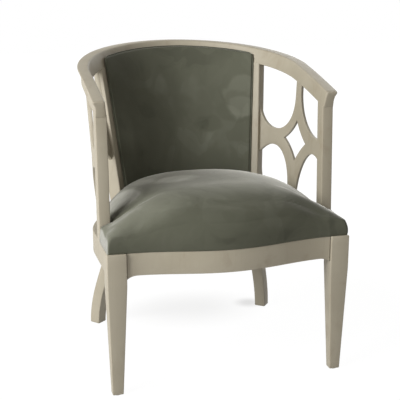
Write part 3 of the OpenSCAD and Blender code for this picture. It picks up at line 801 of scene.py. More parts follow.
@dataclass
class Fretwork:
    """Pierced side panels: four arches round a hollow-sided diamond."""

    barrel: Barrel
    post: ArmPosts
    thick: float = 0.0095
    inset: float = 0.0105
    aim: float = 25
    mid_y: float = 0.321
    mid_rise: float = 0.186
    diamond: tuple[float, float] = (0.051, 0.057)
    hollow: float = 0.004
    upper_rear: tuple[float, float] = (0.073, 0.098)
    upper_front: tuple[float, float] = (0.100, 0.113)
    lower_rear: tuple[float, float] = (0.072, 0.130)
    lower_front: tuple[float, float] = (0.084, 0.134)
    lean: float = 0.19
    upper_stem: float = 0.031
    lower_stem: float = 0.033
    edge_r: float = 0.0016
    pitch: float = 0.008
    tuck: float = 0.003
    post_tuck: float = 0.006
    foot_tuck: float = 0.0015
    foot_flare: float = 0.007
    flare_h: float = 0.085
    arch_foot: float = 0.058
    front_sink: float = 0.030
    rear_sink: float = 0.020
    rear_in: float = 0.010
    far_share: float = 0.85
    halvings: int = 24

    def across(self, plan: Array) -> Array:
        """Place along the cut face of plan points."""
        turn = math.radians(self.aim)
        return -plan[..., 0] * math.sin(turn) + plan[..., 1] * math.cos(turn)

    def to_barrel(self, flat: Array, depth: Array) -> Array:
        """Bend flat points of the pattern onto the barrel.

        Args:
            flat: Places along the cut face, and heights.
            depth: Distance behind the frame's inner face.

        Returns:
            The points on the right side of the chair.
        """
        z = flat[:, 1]
        low, high = np.zeros(len(flat)), np.full(len(flat), self.far_share)
        for _ in range(self.halvings):
            mid = (low + high) / 2
            plan = self.barrel.wall(mid, z) + depth[:, None] * self.barrel.outward(mid, z)
            ahead = self.across(plan) < flat[:, 0]
            low, high = np.where(ahead, mid, low), np.where(ahead, high, mid)
        return self.barrel.point(1 - (low + high) / 2, z, depth)

    def border(self) -> Array:
        """Outline of the whole panel, let a little into the frame all round.

        Returns:
            Places along the cut face and heights, in order.
        """
        b = self.barrel
        foot = b.seat_height - self.foot_tuck
        post = self.post.front_y + self.post.depth - self.post_tuck
        front_z = spread(float(b.crest_foot(np.array(0.06))) + self.tuck, foot, self.pitch)
        front_y = post + self.post.lean * (front_z - b.seat_height)
        front_plan = np.column_stack([np.full_like(front_z, b.seat.half + self.inset), front_y])
        front = np.column_stack([self.across(front_plan), front_z])
        rear_share = b.stile_share + self.rear_in / b.seat.length
        rear_z = spread(foot, float(b.crest_foot(np.array(rear_share))) + self.tuck, self.pitch)
        rear = self.traced(np.full_like(rear_z, rear_share), rear_z)
        shares = np.linspace(rear_share, 0.05, 70)
        top = self.traced(shares, b.crest_foot(shares) + self.tuck)
        top = top[(top[:, 0] < rear[-1, 0] - 0.001) & (top[:, 0] > front[0, 0] + 0.001)]
        low_w = spread(front[-1, 0], rear[0, 0], self.pitch)[1:-1]
        low = np.column_stack([low_w, np.full_like(low_w, foot)])
        return np.concatenate([front, low, rear, top])

    def traced(self, shares: Array, z: Array) -> Array:
        """Places along the cut face, and heights, of points in the panel's middle.

        Args:
            shares: Places round the horseshoe.
            z: Height, or heights.

        Returns:
            Places along the cut face and heights.
        """
        depth = self.inset + self.thick / 2
        plan = self.barrel.wall(shares, z) + depth * self.barrel.outward(shares, z)
        return np.column_stack([self.across(plan), z])

    def arch(self, at: Array, half: tuple[float, float], up: bool, far: float,
             lean: tuple[float, float] = (0.0, 0.0)) -> Array:
        """An opening: half an oval and two straight sides that run off the panel.

        Args:
            at: Middle of the oval.
            half: Its half width and half height.
            up: Whether the opening runs off the panel's top.
            far: Height that the straight sides run to.
            lean: How far the left and right sides lean outwards there.

        Returns:
            The outline of the opening.
        """
        turn = np.linspace(math.pi * up, math.pi * (1 + up), 61)
        oval = at + np.column_stack([half[0] * np.cos(turn), half[1] * np.sin(turn)])
        left, right = at[0] - half[0] - lean[0], at[0] + half[0] + lean[1]
        ends = [(right, far), (left, far)] if up else [(left, far), (right, far)]
        return np.concatenate([oval, ends])

    def openings(self) -> list[Array]:
        """Outlines of the five openings on the cut face.

        Returns:
            For each opening, places along the cut face and heights.
        """
        b = self.barrel
        turn = math.radians(self.aim)
        mid = self.mid_y * math.cos(turn) - (b.seat.half + self.inset) * math.sin(turn)
        high = b.seat_height + self.mid_rise
        uf, ur, lf, lr = self.upper_front, self.upper_rear, self.lower_front, self.lower_rear
        front_up = np.array([mid - self.upper_stem / 2 - uf[0], high + self.diamond[1] + uf[1] - self.front_sink])
        rear_up = np.array([mid + self.upper_stem / 2 + ur[0], front_up[1] - self.rear_sink])
        front_low = np.array([mid - self.lower_stem / 2 - lf[0], high - self.diamond[1] / 3 - lf[1]])
        rear_low = np.array([mid + self.lower_stem / 2 + lr[0], front_low[1]])
        far, foot = b.back_height, b.seat_height - self.arch_foot
        rear_arch = self.arch(rear_low, lr, False, foot)
        flare = np.clip((b.seat_height + self.flare_h - rear_arch[:, 1]) / self.flare_h, 0, 1)
        rear_arch[:, 0] -= np.where(rear_arch[:, 0] > rear_low[0], self.foot_flare * flare**0.7, 0)
        wide, tall = self.diamond
        tips = np.array([(0, tall), (-wide, 0), (0, -tall), (wide, 0)])
        sides = []
        for i in range(4):
            a, c = tips[i], tips[(i + 1) % 4]
            k = np.linspace(0, 1, 12, endpoint=False)[:, None]
            sides.append(a + (c - a) * k - unit((a + c) / 2) * self.hollow * 4 * k * (1 - k))
        return [
            self.arch(front_up, uf, True, far, (self.lean * (far - front_up[1]), 0)),
            self.arch(rear_up, ur, True, far, (0, self.lean * (far - rear_up[1]))),
            self.arch(front_low, lf, False, foot),
            rear_arch,
            np.concatenate(sides) + (mid, high),
        ]

    @staticmethod
    def gap_to(points: Array, loop: Array) -> Array:
        """Distance from each point to a closed outline.

        Args:
            points: The points.
            loop: The outline's points in order.

        Returns:
            The distances.
        """
        a, b = loop, np.roll(loop, -1, axis=0)
        run = b - a
        rel = points[:, None] - a[None]
        k = np.clip((rel * run).sum(-1) / np.maximum((run**2).sum(-1), 1e-12), 0, 1)
        return np.linalg.norm(rel - k[..., None] * run, axis=-1).min(1)

    def flat_mesh(self) -> tuple[Array, Array]:
        """Triangles of the pattern on the cut face.

        Returns:
            The flat points, and the triangles that are wood, as rows of three.
        """
        loops = [self.border(), *self.openings()]
        low, high = loops[0].min(0), loops[0].max(0)
        grid = np.array([(w, z) for j, z in enumerate(np.arange(low[1], high[1], self.pitch * 0.87))
                         for w in np.arange(low[0] + (j % 2) * self.pitch / 2, high[0], self.pitch)])
        clear = np.min([self.gap_to(grid, loop) for loop in loops], axis=0) > 0.5 * self.pitch
        scale = 1000.0
        verts, polys = [], []
        for loop in loops:
            polys.append(list(range(len(verts), len(verts) + len(loop))))
            verts.extend(loop * scale)
        verts.extend(grid[clear] * scale)
        made = geometry.delaunay_2d_cdt([Vector(v) for v in verts], [], polys, 0, 1e-4, True)
        points = np.array([tuple(v) for v in made[0]]) / scale
        wood = np.array([f for f, held in zip(made[2], made[5]) if list(held) == [0]])
        a, b, c = (points[wood[:, k]] for k in range(3))
        turned = (b[:, 0] - a[:, 0]) * (c[:, 1] - a[:, 1]) - (b[:, 1] - a[:, 1]) * (c[:, 0] - a[:, 0]) < 0
        wood[turned] = wood[turned][:, ::-1]
        used, flat = np.unique(wood, return_inverse=True)
        return points[used], flat.reshape(wood.shape)

    def build(self, shop: Workshop) -> list[bpy.types.Object]:
        """Make both panels, with softened edges round every opening.

        Args:
            shop: Makes the pieces.

        Returns:
            The pieces made.
        """
        flat, wood = self.flat_mesh()
        edges = {(t[i], t[(i + 1) % 3]) for t in wood for i in range(3)}
        rim = [(a, b) for a, b in edges if (b, a) not in edges]
        into = np.zeros_like(flat)
        normals: dict[int, list[Array]] = {}
        for a, b in rim:
            run = unit(flat[b] - flat[a])
            for v in (a, b):
                normals.setdefault(v, []).append(np.array([-run[1], run[0]]))
        for v, ns in normals.items():
            total = np.sum(ns, axis=0)
            into[v] = total / max(0.5, 1 + float(ns[0] @ ns[-1])) if len(ns) == 2 else unit(total)
        r, t = self.edge_r, self.thick
        turns = np.linspace(0, math.pi / 2, 4)
        steps = [(r * (1 - math.sin(q)), r * (1 - math.cos(q))) for q in turns]
        steps += [(inset, t - depth) for inset, depth in reversed(steps)]
        rim_ids = sorted(normals)
        place = {v: i for i, v in enumerate(rim_ids)}
        verts, layers = [], []
        total = 0
        for k, (inset, depth) in enumerate(steps):
            whole = k in (0, len(steps) - 1)
            ids = np.arange(len(flat)) if whole else np.array(rim_ids)
            moved = flat[ids] + into[ids] * inset
            verts.append(self.to_barrel(moved, np.full(len(ids), self.inset + depth)))
            layers.append({v: total + (v if whole else place[v]) for v in rim_ids})
            total += len(ids)
        back = total - len(flat)
        loose = [*wood, *(back + wood[:, ::-1])]
        for upper, lower in zip(layers, layers[1:]):
            loose += [(upper[a], lower[a], lower[b], upper[b]) for a, b in rim]
        faces: Faces = [tuple(int(v) for v in f) for f in loose]
        return shop.pair("fret_panel", (np.concatenate(verts), faces))


# Upholstery


@dataclass
class Stuffing:
    """Swells a padded piece with a short cloth simulation.

    A working copy gets an even skin and is blown up, and its movement is carried back to
    the piece's own finer mesh, so that corners, seams and folds stay crisp.
    """

    voxel: float = 0.005
    pressure: float = 4.0
    frames: int = 20
    cap: float = 0.022
    stiffness: float = 25.0
    calm: int = 30
    neighbours: int = 6
    held_under: float = 0.02
    soft_gap: float = 0.001

    @staticmethod
    def points(mesh: bpy.types.Mesh) -> Array:
        """The mesh's vertices as an array.

        Args:
            mesh: The mesh that moves.

        Returns:
            The vertices by three.
        """
        flat = np.zeros(len(mesh.vertices) * 3, np.float32)
        mesh.vertices.foreach_get("co", flat)
        return flat.reshape(-1, 3).astype(float)

    @staticmethod
    def reshape(mesh: bpy.types.Mesh, points: Array) -> None:
        """Put the mesh's vertices in new places."""
        mesh.vertices.foreach_set("co", points.astype(np.float32).ravel())
        mesh.update()

    @staticmethod
    def tree(points: Array) -> KDTree:
        """The points, ready to be searched for the nearest one.

        Args:
            points: The points.

        Returns:
            The search tree.
        """
        tree = KDTree(len(points))
        for i, point in enumerate(points):
            tree.insert(point, i)
        tree.balance()
        return tree

    def work_copy(self, obj: bpy.types.Object) -> bpy.types.Object:
        """A copy of the piece with an even skin.

        Args:
            obj: The piece.

        Returns:
            The piece made.
        """
        copy = bpy.data.objects.new(f"{obj.name}_work", obj.data.copy())
        bpy.context.scene.collection.objects.link(copy)
        skin = copy.modifiers.new("skin", "REMESH")
        skin.mode, skin.voxel_size = "VOXEL", self.voxel
        graph = bpy.context.evaluated_depsgraph_get()
        copy.data = bpy.data.meshes.new_from_object(copy.evaluated_get(graph))
        copy.modifiers.clear()
        return copy

    def blow_up(self, copy: bpy.types.Object, held: Array) -> Array:
        """Run the cloth on the working copy.

        Args:
            copy: The working copy.
            held: Truth for each vertex that stays where it is.

        Returns:
            The movement of each vertex, no longer than the cap.
        """
        scene = bpy.context.scene
        rest = self.points(copy.data)
        group = copy.vertex_groups.new(name="held")
        group.add([int(i) for i in np.nonzero(held)[0]], 1.0, "REPLACE")
        cloth = copy.modifiers.new("cloth", "CLOTH")
        fabric = cloth.settings
        fabric.quality, fabric.mass, fabric.bending_stiffness = 5, 0.3, 0.5
        fabric.tension_stiffness = fabric.compression_stiffness = fabric.shear_stiffness = self.stiffness
        fabric.use_pressure, fabric.uniform_pressure_force = True, self.pressure
        fabric.vertex_group_mass, fabric.effector_weights.gravity = "held", 0
        cloth.collision_settings.use_collision = False
        cloth.point_cache.frame_start, cloth.point_cache.frame_end = 1, self.frames
        for number in range(1, self.frames + 1):
            scene.frame_set(number)
        graph = bpy.context.evaluated_depsgraph_get()
        baked = bpy.data.meshes.new_from_object(copy.evaluated_get(graph))
        moved = self.points(baked) - rest
        bpy.data.meshes.remove(baked)
        scene.frame_set(1)
        far = np.linalg.norm(moved, axis=1, keepdims=True)
        LOG.info("%s swelled by %.1f mm at most", copy.name, 1000 * float(far.max()))
        return self.calmed(copy.data, moved * np.minimum(1, self.cap / np.maximum(far, 1e-9)))

    def calmed(self, mesh: bpy.types.Mesh, moved: Array) -> Array:
        """The movement with its short ripples averaged out along the mesh's edges.

        Args:
            mesh: The mesh that moves.
            moved: The movement of each of its vertices.

        Returns:
            The movement of each vertex.
        """
        ends = np.zeros(len(mesh.edges) * 2, np.int32)
        mesh.edges.foreach_get("vertices", ends)
        a, b = ends.reshape(-1, 2).T
        near, far, size = np.concatenate([a, b]), np.concatenate([b, a]), len(moved)
        count = np.maximum(np.bincount(near, minlength=size), 1)
        for _ in range(self.calm):
            mean = [np.bincount(near, moved[far, k], size) / count for k in range(3)]
            moved = (moved + np.stack(mean, -1)) / 2
        return moved

    def swell(self, obj: bpy.types.Object, give: Array) -> None:
        """Stuff a piece.

        Args:
            obj: The piece.
            give: For each of its vertices, from 0 where it is held to 1 where it is free.
        """
        own = self.points(obj.data)
        copy = self.work_copy(obj)
        rest = self.points(copy.data)
        seams, skin = self.tree(own), self.tree(rest)
        held = np.array([give[seams.find(point)[1]] < self.held_under for point in rest])
        moved = self.blow_up(copy, held)
        for i in np.nonzero(give > 0)[0]:
            near = skin.find_n(Vector(own[i]), self.neighbours)
            pull = np.array([1 / (gap + self.soft_gap) for _, _, gap in near])
            push = (moved[[j for _, j, _ in near]] * pull[:, None]).sum(0) / pull.sum()
            own[i] += push * give[i]
        self.reshape(obj.data, own)
        mesh = copy.data
        bpy.data.objects.remove(copy)
        bpy.data.meshes.remove(mesh)


@dataclass
class SeatCushion:
    """The tight seat: velvet over foam on a board, wrapped over the rails and round the posts."""

    barrel: Barrel
    rails: SeatRails
    post: ArmPosts
    stuffing: Stuffing
    crown_h: float = 0.126
    shoulder_h: float = 0.044
    crown_y: float = 0.140
    cover_t: float = 0.010
    front_swell: float = 0.003
    side_swell: float = 0.006
    lap: float = 0.001
    corner_r: float = 0.007
    soft_gap: float = 0.0004
    pad_edge: float = 0.007
    pad_back: float = 0.0019
    notch_lead: float = 0.017
    notch_ease: float = 0.0006
    pad_from: float = 0.002
    pad_run: float = 0.02
    crown_over: float = 0.010
    front_reach: float = 0.060
    back_reach: float = 0.025
    plan_power: float = 2.3
    dome_power: float = 3.2
    easing: float = 0.19
    edge_drop: float = 0.006
    edge_roll: float = 0.0075
    edge_share: float = 0.13
    pitch: float = 0.004
    slack: float = 0.005
    front_lean: float = 2.2
    lean_y: tuple[float, float] = (0.020, 0.040)
    corner_fill: float = 0.004
    fill_at: tuple[float, float] = (0.262, 0.035)
    fill_reach: tuple[float, float] = (0.030, 0.025)
    fold_path: tuple[tuple[float, float], ...] = (
        (0.125, 0.130), (0.145, 0.121), (0.185, 0.112), (0.205, 0.115),
        (0.237, 0.118), (0.255, 0.112), (0.273, 0.105),
    )
    fold_depth: float = 0.0072
    fold_reach: tuple[float, float] = (0.028, 0.020)
    fold_lip: tuple[float, float] = (0.003, 0.012)
    fold_z: tuple[float, float] = (0.012, 0.024)
    ridge: tuple[float, float, float] = (0.30, 0.010, 0.011)
    settle_z: float = 0.03
    give_z: tuple[float, float] = (0.002, 0.025)
    foot_lift: float = 0.00005
    foam_foot: float = 0.0124
    foam_gap: float = 0.002
    under_steps: tuple[float, ...] = (0.92, 0.7, 0.45, 0.2, 0.05)
    side_steps: tuple[float, ...] = (0, 0.06, 0.16, 0.28, 0.4, 0.52, 0.64, 0.76, 0.87, 0.95)
    edge_steps: tuple[float, ...] = (0, 0.003, 0.007, 0.014, 0.024, 0.036, 0.050, 0.064, 0.08)
    top_steps: tuple[float, float, int] = (0.095, 0.98, 74)

    @property
    def fold(self) -> Array:
        """The place ahead of the posts that the seat's rings are drawn in to."""
        return np.array([0.0, self.post.front_y - self.notch_lead])

    def half_outline(self, inset: float) -> Array:
        """Right half of the seat's outline, from the front middle to the back middle.

        Args:
            inset: How far the outline is drawn in.

        Returns:
            Plan points, Y from the front of the legs.
        """
        w = self.barrel.seat.half + self.rails.thick - inset
        inner = self.barrel.seat.half - self.soft_gap - inset
        front_x = spread(0, w - self.corner_r, self.pitch)
        front_y = self.rails.front_y(np.minimum(front_x, self.rails.leg_in)) - self.lap + inset
        fy = self.rails.recess - self.lap + inset
        turn = np.radians(np.linspace(-75, 0, 6))
        corner = np.column_stack([w - self.corner_r + self.corner_r * np.cos(turn),
                                  fy + self.corner_r + self.corner_r * np.sin(turn)])
        notch = self.post.front_y - self.soft_gap - inset
        side_y = spread(fy + self.corner_r, notch - self.notch_ease, self.pitch)[1:]
        cross_x = spread(w, inner + self.notch_ease, self.pitch)[1:]
        shares = np.linspace(0.004, 1, 130)
        blend = np.clip((shares - self.barrel.stile_share - self.pad_from) / self.pad_run, 0, 1)
        pad = self.pad_back + self.pad_edge + self.soft_gap
        depth = -self.soft_gap - inset - (pad - self.soft_gap) * blend
        rear = self.barrel.upright(1 - shares, self.barrel.seat_height, depth)[:, :2]
        rear = rear[rear[:, 1] > notch + 0.002]
        return np.concatenate([
            np.column_stack([front_x, front_y]), corner,
            np.column_stack([np.full_like(side_y, w), side_y]),
            np.column_stack([cross_x, np.full_like(cross_x, notch)]), rear,
        ])

    def outline(self, inset: float = 0.0) -> Array:
        """The seat's whole outline."""
        return mirrored(self.half_outline(inset))

    def crown(self, plan: Array) -> Array:
        """Height of the crown as a share of its full rise, at plan points.

        Args:
            plan: Plan points.

        Returns:
            The share at each point.
        """
        ahead = plan[:, 1] < self.crown_y
        back = self.barrel.seat.turn_y + self.barrel.seat.reach - self.crown_y + self.back_reach
        reach = np.where(ahead, self.crown_y + self.front_reach, back)
        half = self.barrel.seat.half + self.crown_over
        rho = ((np.abs(plan[:, 0]) / half) ** self.plan_power
               + (np.abs(plan[:, 1] - self.crown_y) / reach) ** self.plan_power) ** (1 / self.plan_power)
        f = 1 - rho**self.dome_power
        return (f + np.sqrt(f * f + self.easing**2)) / (1 + math.sqrt(1 + self.easing**2))

    def top(self, plan: Array, share: float, inset: float = 0.0, off: Array | float = 0.0) -> Array:
        """Height of the seat's top.

        Args:
            plan: Plan points.
            share: The share of the way in from the outline at which they lie.
            inset: How far inside the cover's face the top lies.
            off: Their distance from the outline.

        Returns:
            The height of each point.
        """
        k = 1 - min(1.0, share / self.edge_share)
        rise = (self.crown_h - self.shoulder_h) * self.crown(plan)
        near = (np.abs(plan) * (1, 0) + plan * (0, 1) - self.fill_at) / self.fill_reach
        rise += self.corner_fill * np.exp(-(near**2).sum(-1))
        rise -= self.edge_roll * (1 - quarter(np.asarray(off) / self.edge_roll)) * 0.8
        return self.barrel.seat_height + self.shoulder_h + rise - self.edge_drop * k * k - inset

    def lean_at(self, line: Array, height: Array) -> Array:
        """How far the cushion's front leans back at its upper edge."""
        ahead = np.clip((self.post.front_y - self.lean_y[0] - line[:, 1]) / self.lean_y[1], 0, 1)
        return self.front_lean * height**2 * ahead * ahead * (3 - 2 * ahead)

    def swell_at(self, plan: Array) -> Array:
        """How far the cushion's side swells at points of its outline.

        Args:
            plan: Plan points.

        Returns:
            The swell at each point.
        """
        x, y = np.abs(plan[:, 0]), plan[:, 1]
        beside = (x > self.barrel.seat.half - self.cover_t) & (y > self.post.front_y + self.post.depth)
        beside &= y < self.barrel.seat.turn_y
        ahead = y < self.post.front_y - 0.012
        return np.where(beside, self.side_swell, np.where(ahead, self.front_swell, 0.0))

    def rings(self, inset: float, foot: float, slack: float) -> Array:
        """Rings of the cushion from its underside over its edge to the crown.

        Args:
            inset: How far inside the cover's face the rings lie.
            foot: Height of the underside.
            slack: How far the crown is let down before the stuffing goes in.

        Returns:
            Array of rings by points by three.
        """
        line = self.outline(inset)
        rows = [raised(self.fold + (1 - s) * (line - self.fold), foot) for s in self.under_steps]
        edge = self.top(line, 0, inset)
        away = unit(line - (0, self.crown_y))
        swell = self.swell_at(line)
        swell = np.convolve(np.concatenate([swell[-4:], swell, swell[:4]]), np.full(9, 1 / 9), "valid")
        lean = self.lean_at(line, edge - foot)
        for up in self.side_steps:
            bulge = math.sin(math.pi * up**0.85) ** 0.6 if up else 0.0
            plan = line + away * (swell * bulge - lean * up**2)[:, None]
            rows.append(raised(plan, foot + (edge - foot) * up))
        for share in (*self.edge_steps, *np.linspace(*self.top_steps)):
            plan = self.fold + (1 - share) * (line - self.fold)
            off = share * np.linalg.norm(line - self.fold, axis=1)
            height = self.top(plan, share, inset + slack * min(1, share / 0.3), off)
            rows.append(raised(plan - away * (lean * max(0.0, 1 - share / 0.5) ** 2)[:, None], height))
        return np.array(rows)

    def crease(self, points: Array) -> Array:
        """Fold where the velvet is drawn round each arm post.

        Args:
            points: The cushion's points, Y from the front of the legs.

        Returns:
            The points with a step that runs in from the post: a full ridge in front, a
            sharp drop behind it, and a long slope back up.
        """
        x, y = np.abs(points[:, 0]), points[:, 1]
        path = np.array(self.fold_path)
        run = np.clip((x - path[0, 0]) / (path[-1, 0] - path[0, 0]), 0, 1)
        off = y - np.interp(x, path[:, 0], path[:, 1])
        deep = self.fold_depth * run**1.5 * np.clip((self.barrel.seat.half + 0.001 - x) / 0.003, 0, 1)
        slope = np.clip(1 - off / (self.fold_reach[0] + self.fold_reach[1] * (1 - run)), 0, 1) ** 2
        lip = np.exp(-((off / (self.fold_lip[0] + self.fold_lip[1] * (1 - run))) ** 2))
        high, ahead, reach = self.ridge
        drop = np.where(off > 0, slope, lip) - high * np.exp(-(((off + ahead) / reach) ** 2))
        over = np.clip((points[:, 2] - self.barrel.seat_height - self.fold_z[0]) / self.fold_z[1], 0, 1)
        out = points.copy()
        out[:, 2] -= deep * drop * over
        return out

    def settle(self, points: Array) -> Array:
        """The stuffed cushion's points, let down until the crown has its own height again.

        Args:
            points: The points.

        Returns:
            The points in their new places.
        """
        over = points[:, 2].max() - self.barrel.seat_height - self.crown_h
        LOG.info("seat crown settled by %.1f mm", 1000 * over)
        low = self.settle_z
        share = np.clip((points[:, 2] - self.barrel.seat_height - low) / (self.crown_h - low), 0, 1)
        out = points.copy()
        out[:, 2] -= max(0.0, over) * share
        return out

    def build(self, shop: Workshop) -> list[bpy.types.Object]:
        """Make the velvet cover and the foam inside it.

        Args:
            shop: Makes the pieces.

        Returns:
            The pieces made.
        """
        foot = self.barrel.seat_height + self.foot_lift
        slack = self.slack
        verts, faces = loft(self.rings(0.0, foot, slack))
        cover = shop.piece("seat_cover_velvet", verts, faces, ["seat_cover"], sharp=70)
        self.stuffing.swell(cover, np.clip((verts[:, 2] - foot - self.give_z[0]) / self.give_z[1], 0, 1))
        points = self.settle(self.stuffing.points(cover.data)) + (0, shop.origin_y, 0)
        self.stuffing.reshape(cover.data, self.crease(points) - (0, shop.origin_y, 0))
        foam_foot = self.barrel.seat_height + self.foam_foot
        verts, faces = loft(self.rings(self.cover_t + self.foam_gap, foam_foot, slack))
        foam = shop.piece("seat_foam_block", self.crease(verts), faces, ["seat_foam"], sharp=60)
        return [cover, foam]


@dataclass
class BackPad:
    """The inside back: velvet over foam on webbing, with a fine welt at its edge."""

    barrel: Barrel
    stuffing: Stuffing
    edge: float = 0.0055
    middle: float = 0.017
    reveal: float = 0.0246
    reveal_top: float = 0.0181
    drop: float = 0.017
    foot_rise: float = 0.038
    back_d: float = -0.0019
    welt_r: float = 0.0016
    soft_gap: float = 0.0004
    edge_round: float = 0.003
    edge_steps: tuple[float, ...] = (0, 0.0015, 0.004, 0.008)
    edge_share: float = 0.62
    tall: float = 0.36
    give_reach: float = 0.060
    give_size: float = 0.4

    def half(self, up: Array | float) -> Array | float:
        """Half width of the pad round the barrel at shares of its height."""
        reveal = self.reveal + (self.reveal_top - self.reveal) * up
        return 1 - self.barrel.stile_share - reveal / self.barrel.seat.length

    def high_z(self, u: Array) -> Array:
        """Height of the pad's top edge."""
        return self.barrel.crest_top(1 - np.abs(u)) - self.drop

    def depth(self, across: Array, up: Array) -> Array:
        """Thickness of the pad at shares of its width and height."""
        swell = (1 - np.abs(2 * across - 1) ** 4) * (1 - np.abs(2 * up - 1) ** 6)
        return self.edge + (self.middle - self.edge) * swell

    def grid(self, thickness: float = 1.0, inset: float = 0.0) -> Skin:
        """Closed skin of the pad: a crowned front, rolled edges and a flat back.

        Args:
            thickness: Share of the pad's own thickness.
            inset: How far the outline is drawn in.

        Returns:
            The vertices, the front's first, and the faces.
        """
        low = self.barrel.seat_height + self.foot_rise + inset
        ends = np.array(self.edge_steps)
        line = np.concatenate([ends, np.linspace(0.015, 0.985, 105), 1 - ends[::-1]])
        a, v = np.meshgrid(line, line, indexing="ij")
        half = self.half(v) - inset / self.barrel.seat.length
        u = (2 * a - 1) * half
        high = self.high_z(u) - inset
        z = low + (high - low) * v
        near = margin(a, v, 2 * half * self.barrel.seat.length, self.tall)
        roll = self.edge_share + (1 - self.edge_share) * quarter(near / self.edge_round)
        front = self.barrel.point(u, z, self.back_d - thickness * self.depth(a, v) * roll)
        return slab(front, self.barrel.point(u, z, self.back_d))

    def welt(self, shop: Workshop) -> bpy.types.Object:
        """Make the cord that runs up one side of the pad, along its top and down the other.

        Args:
            shop: Makes the pieces.

        Returns:
            The piece made.
        """
        aside = (self.welt_r + self.soft_gap) / self.barrel.seat.length
        out = float(self.half(1.0)) + aside
        low = self.barrel.seat_height + self.foot_rise
        lift = self.welt_r + self.soft_gap
        d = self.back_d - self.welt_r
        top = float(self.high_z(np.array(out))) + lift
        rise = spread(low, top - 0.004, 0.010)
        us = np.linspace(-out, out, 90)
        across = self.barrel.point(us, self.high_z(us) + lift, d)[2:-2]
        beside = self.half((rise - low) / (top - low)) + aside
        left = self.barrel.point(-beside, rise, d)
        right = self.barrel.point(beside[::-1], rise[::-1], d)
        path = np.concatenate([left, across, right])
        for _ in range(2):
            path[1:-1] = (path[:-2] + 2 * path[1:-1] + path[2:]) / 4
        run = unit(np.gradient(path, axis=0))
        side = unit(np.cross(run, unit(path * (-1, -1, 0) + (0, 0.14, 0))))
        up = np.cross(side, run)
        turn = np.linspace(0, 2 * math.pi, 14, endpoint=False)
        rings = path[:, None] + self.welt_r * (
            np.cos(turn)[None, :, None] * side[:, None] + np.sin(turn)[None, :, None] * up[:, None])
        return shop.piece("back_welt_cord", *loft(rings), ["back_welt"], sharp=80)

    def build(self, shop: Workshop) -> list[bpy.types.Object]:
        """Make the velvet pad, its foam and its welt.

        Args:
            shop: Makes the pieces.

        Returns:
            The pieces made.
        """
        verts, faces = self.grid()
        pad = shop.piece("inside_back_velvet", verts, faces, ["inside_back_cover"], sharp=80)
        count = round(math.sqrt(len(verts) // 2))
        line = np.linspace(0, 1, count)
        a, v = np.meshgrid(line, line, indexing="ij")
        give = eased(np.clip(margin(a, v, 1, 1).ravel() * self.give_size / self.give_reach, 0, 1))
        self.stuffing.swell(pad, np.concatenate([give, np.zeros_like(give)]))
        foam = shop.piece("back_foam_sheet", *self.grid(0.35, 0.014), ["back_foam"], sharp=60)
        return [pad, foam, self.welt(shop)]


@dataclass
class BackLinings:
    """What closes the back: webbing under the pad and velvet on the outside."""

    barrel: Barrel
    thick: float = 0.0285
    cover_t: float = 0.004
    hip: float = 0.036
    web_w: float = 0.050
    web_t: float = 0.0015
    web_count: int = 5
    web_points: int = 9
    web_foot: float = 0.4195
    web_drop: float = 0.0245
    roll: float = 0.003
    reveal: float = 0.024
    tall: float = 0.38
    foot_gap: float = 0.0005
    head_gap: float = 0.0003
    full: float = 0.002
    full_run: float = 0.12

    def outside(self, shop: Workshop) -> bpy.types.Object:
        """Make the outside back cover, its edges turned under.

        Args:
            shop: Makes the pieces.

        Returns:
            The piece made.
        """
        b = self.barrel
        half = 1 - b.stile_share - self.reveal / b.seat.length
        low = b.seat_height + self.foot_gap
        a, v = np.meshgrid(np.linspace(0, 1, 101), np.linspace(0, 1, 61), indexing="ij")
        u = (2 * a - 1) * half
        z = low + (b.crest_foot(1 - np.abs(u)) - self.head_gap - low) * v
        near = margin(a, v, 2 * half * b.seat.length, self.tall)
        lift = self.cover_t * (0.35 + 0.65 * quarter(near / self.roll))
        lift += self.full * np.clip(near / self.full_run, 0, 1) ** 0.7
        inner = self.thick - self.cover_t
        skin = slab(b.point(u, z, inner + lift), b.point(u, z, inner))
        return shop.piece("outside_back_velvet", *skin, ["outside_back_cover"], sharp=70)

    def bands(self, shop: Workshop) -> bpy.types.Object:
        """Make the upright webbing bands, as one piece of separate strips.

        Args:
            shop: Makes the pieces.

        Returns:
            The piece made.
        """
        b, count, n = self.barrel, self.web_count, self.web_points
        half = 1 - b.stile_share - self.hip / 2 / b.seat.length
        verts, faces, cuts = [], [], []
        for k in range(count):
            at = (k - (count - 1) / 2) * 2 * (half - self.web_w / b.seat.length) / (count - 1)
            us = at + np.linspace(-1, 1, n) * self.web_w / 2 / b.seat.length
            top = float(b.crest_top(np.array(1 - abs(at)))) - self.web_drop
            rings = [np.concatenate([b.point(us, z, -self.web_t), b.point(us[::-1], z, -0.0001)])
                     for z in spread(self.web_foot, top, 0.012)]
            face = np.array(rings)[:, :n]
            steps = np.linalg.norm(np.diff(face[:, n // 2], axis=0), axis=1)
            wide = np.linalg.norm(np.diff(face, axis=1), axis=2).sum(1)
            cuts.append((wide.max(), steps.sum(), float(np.sum((wide[1:] + wide[:-1]) / 2 * steps))))
            made, skin = loft(rings)
            start = sum(len(v) for v in verts)
            verts.append(made)
            faces += [tuple(start + i for i in f) for f in skin]
        bands = shop.piece("back_webbing_bands", np.concatenate(verts), faces, ["back_webbing"])
        return bands

    def build(self, shop: Workshop) -> list[bpy.types.Object]:
        """Make the outside cover and the webbing.

        Args:
            shop: Makes the pieces.

        Returns:
            The pieces made.
        """
        cover = self.outside(shop)
        return [cover, self.bands(shop)]


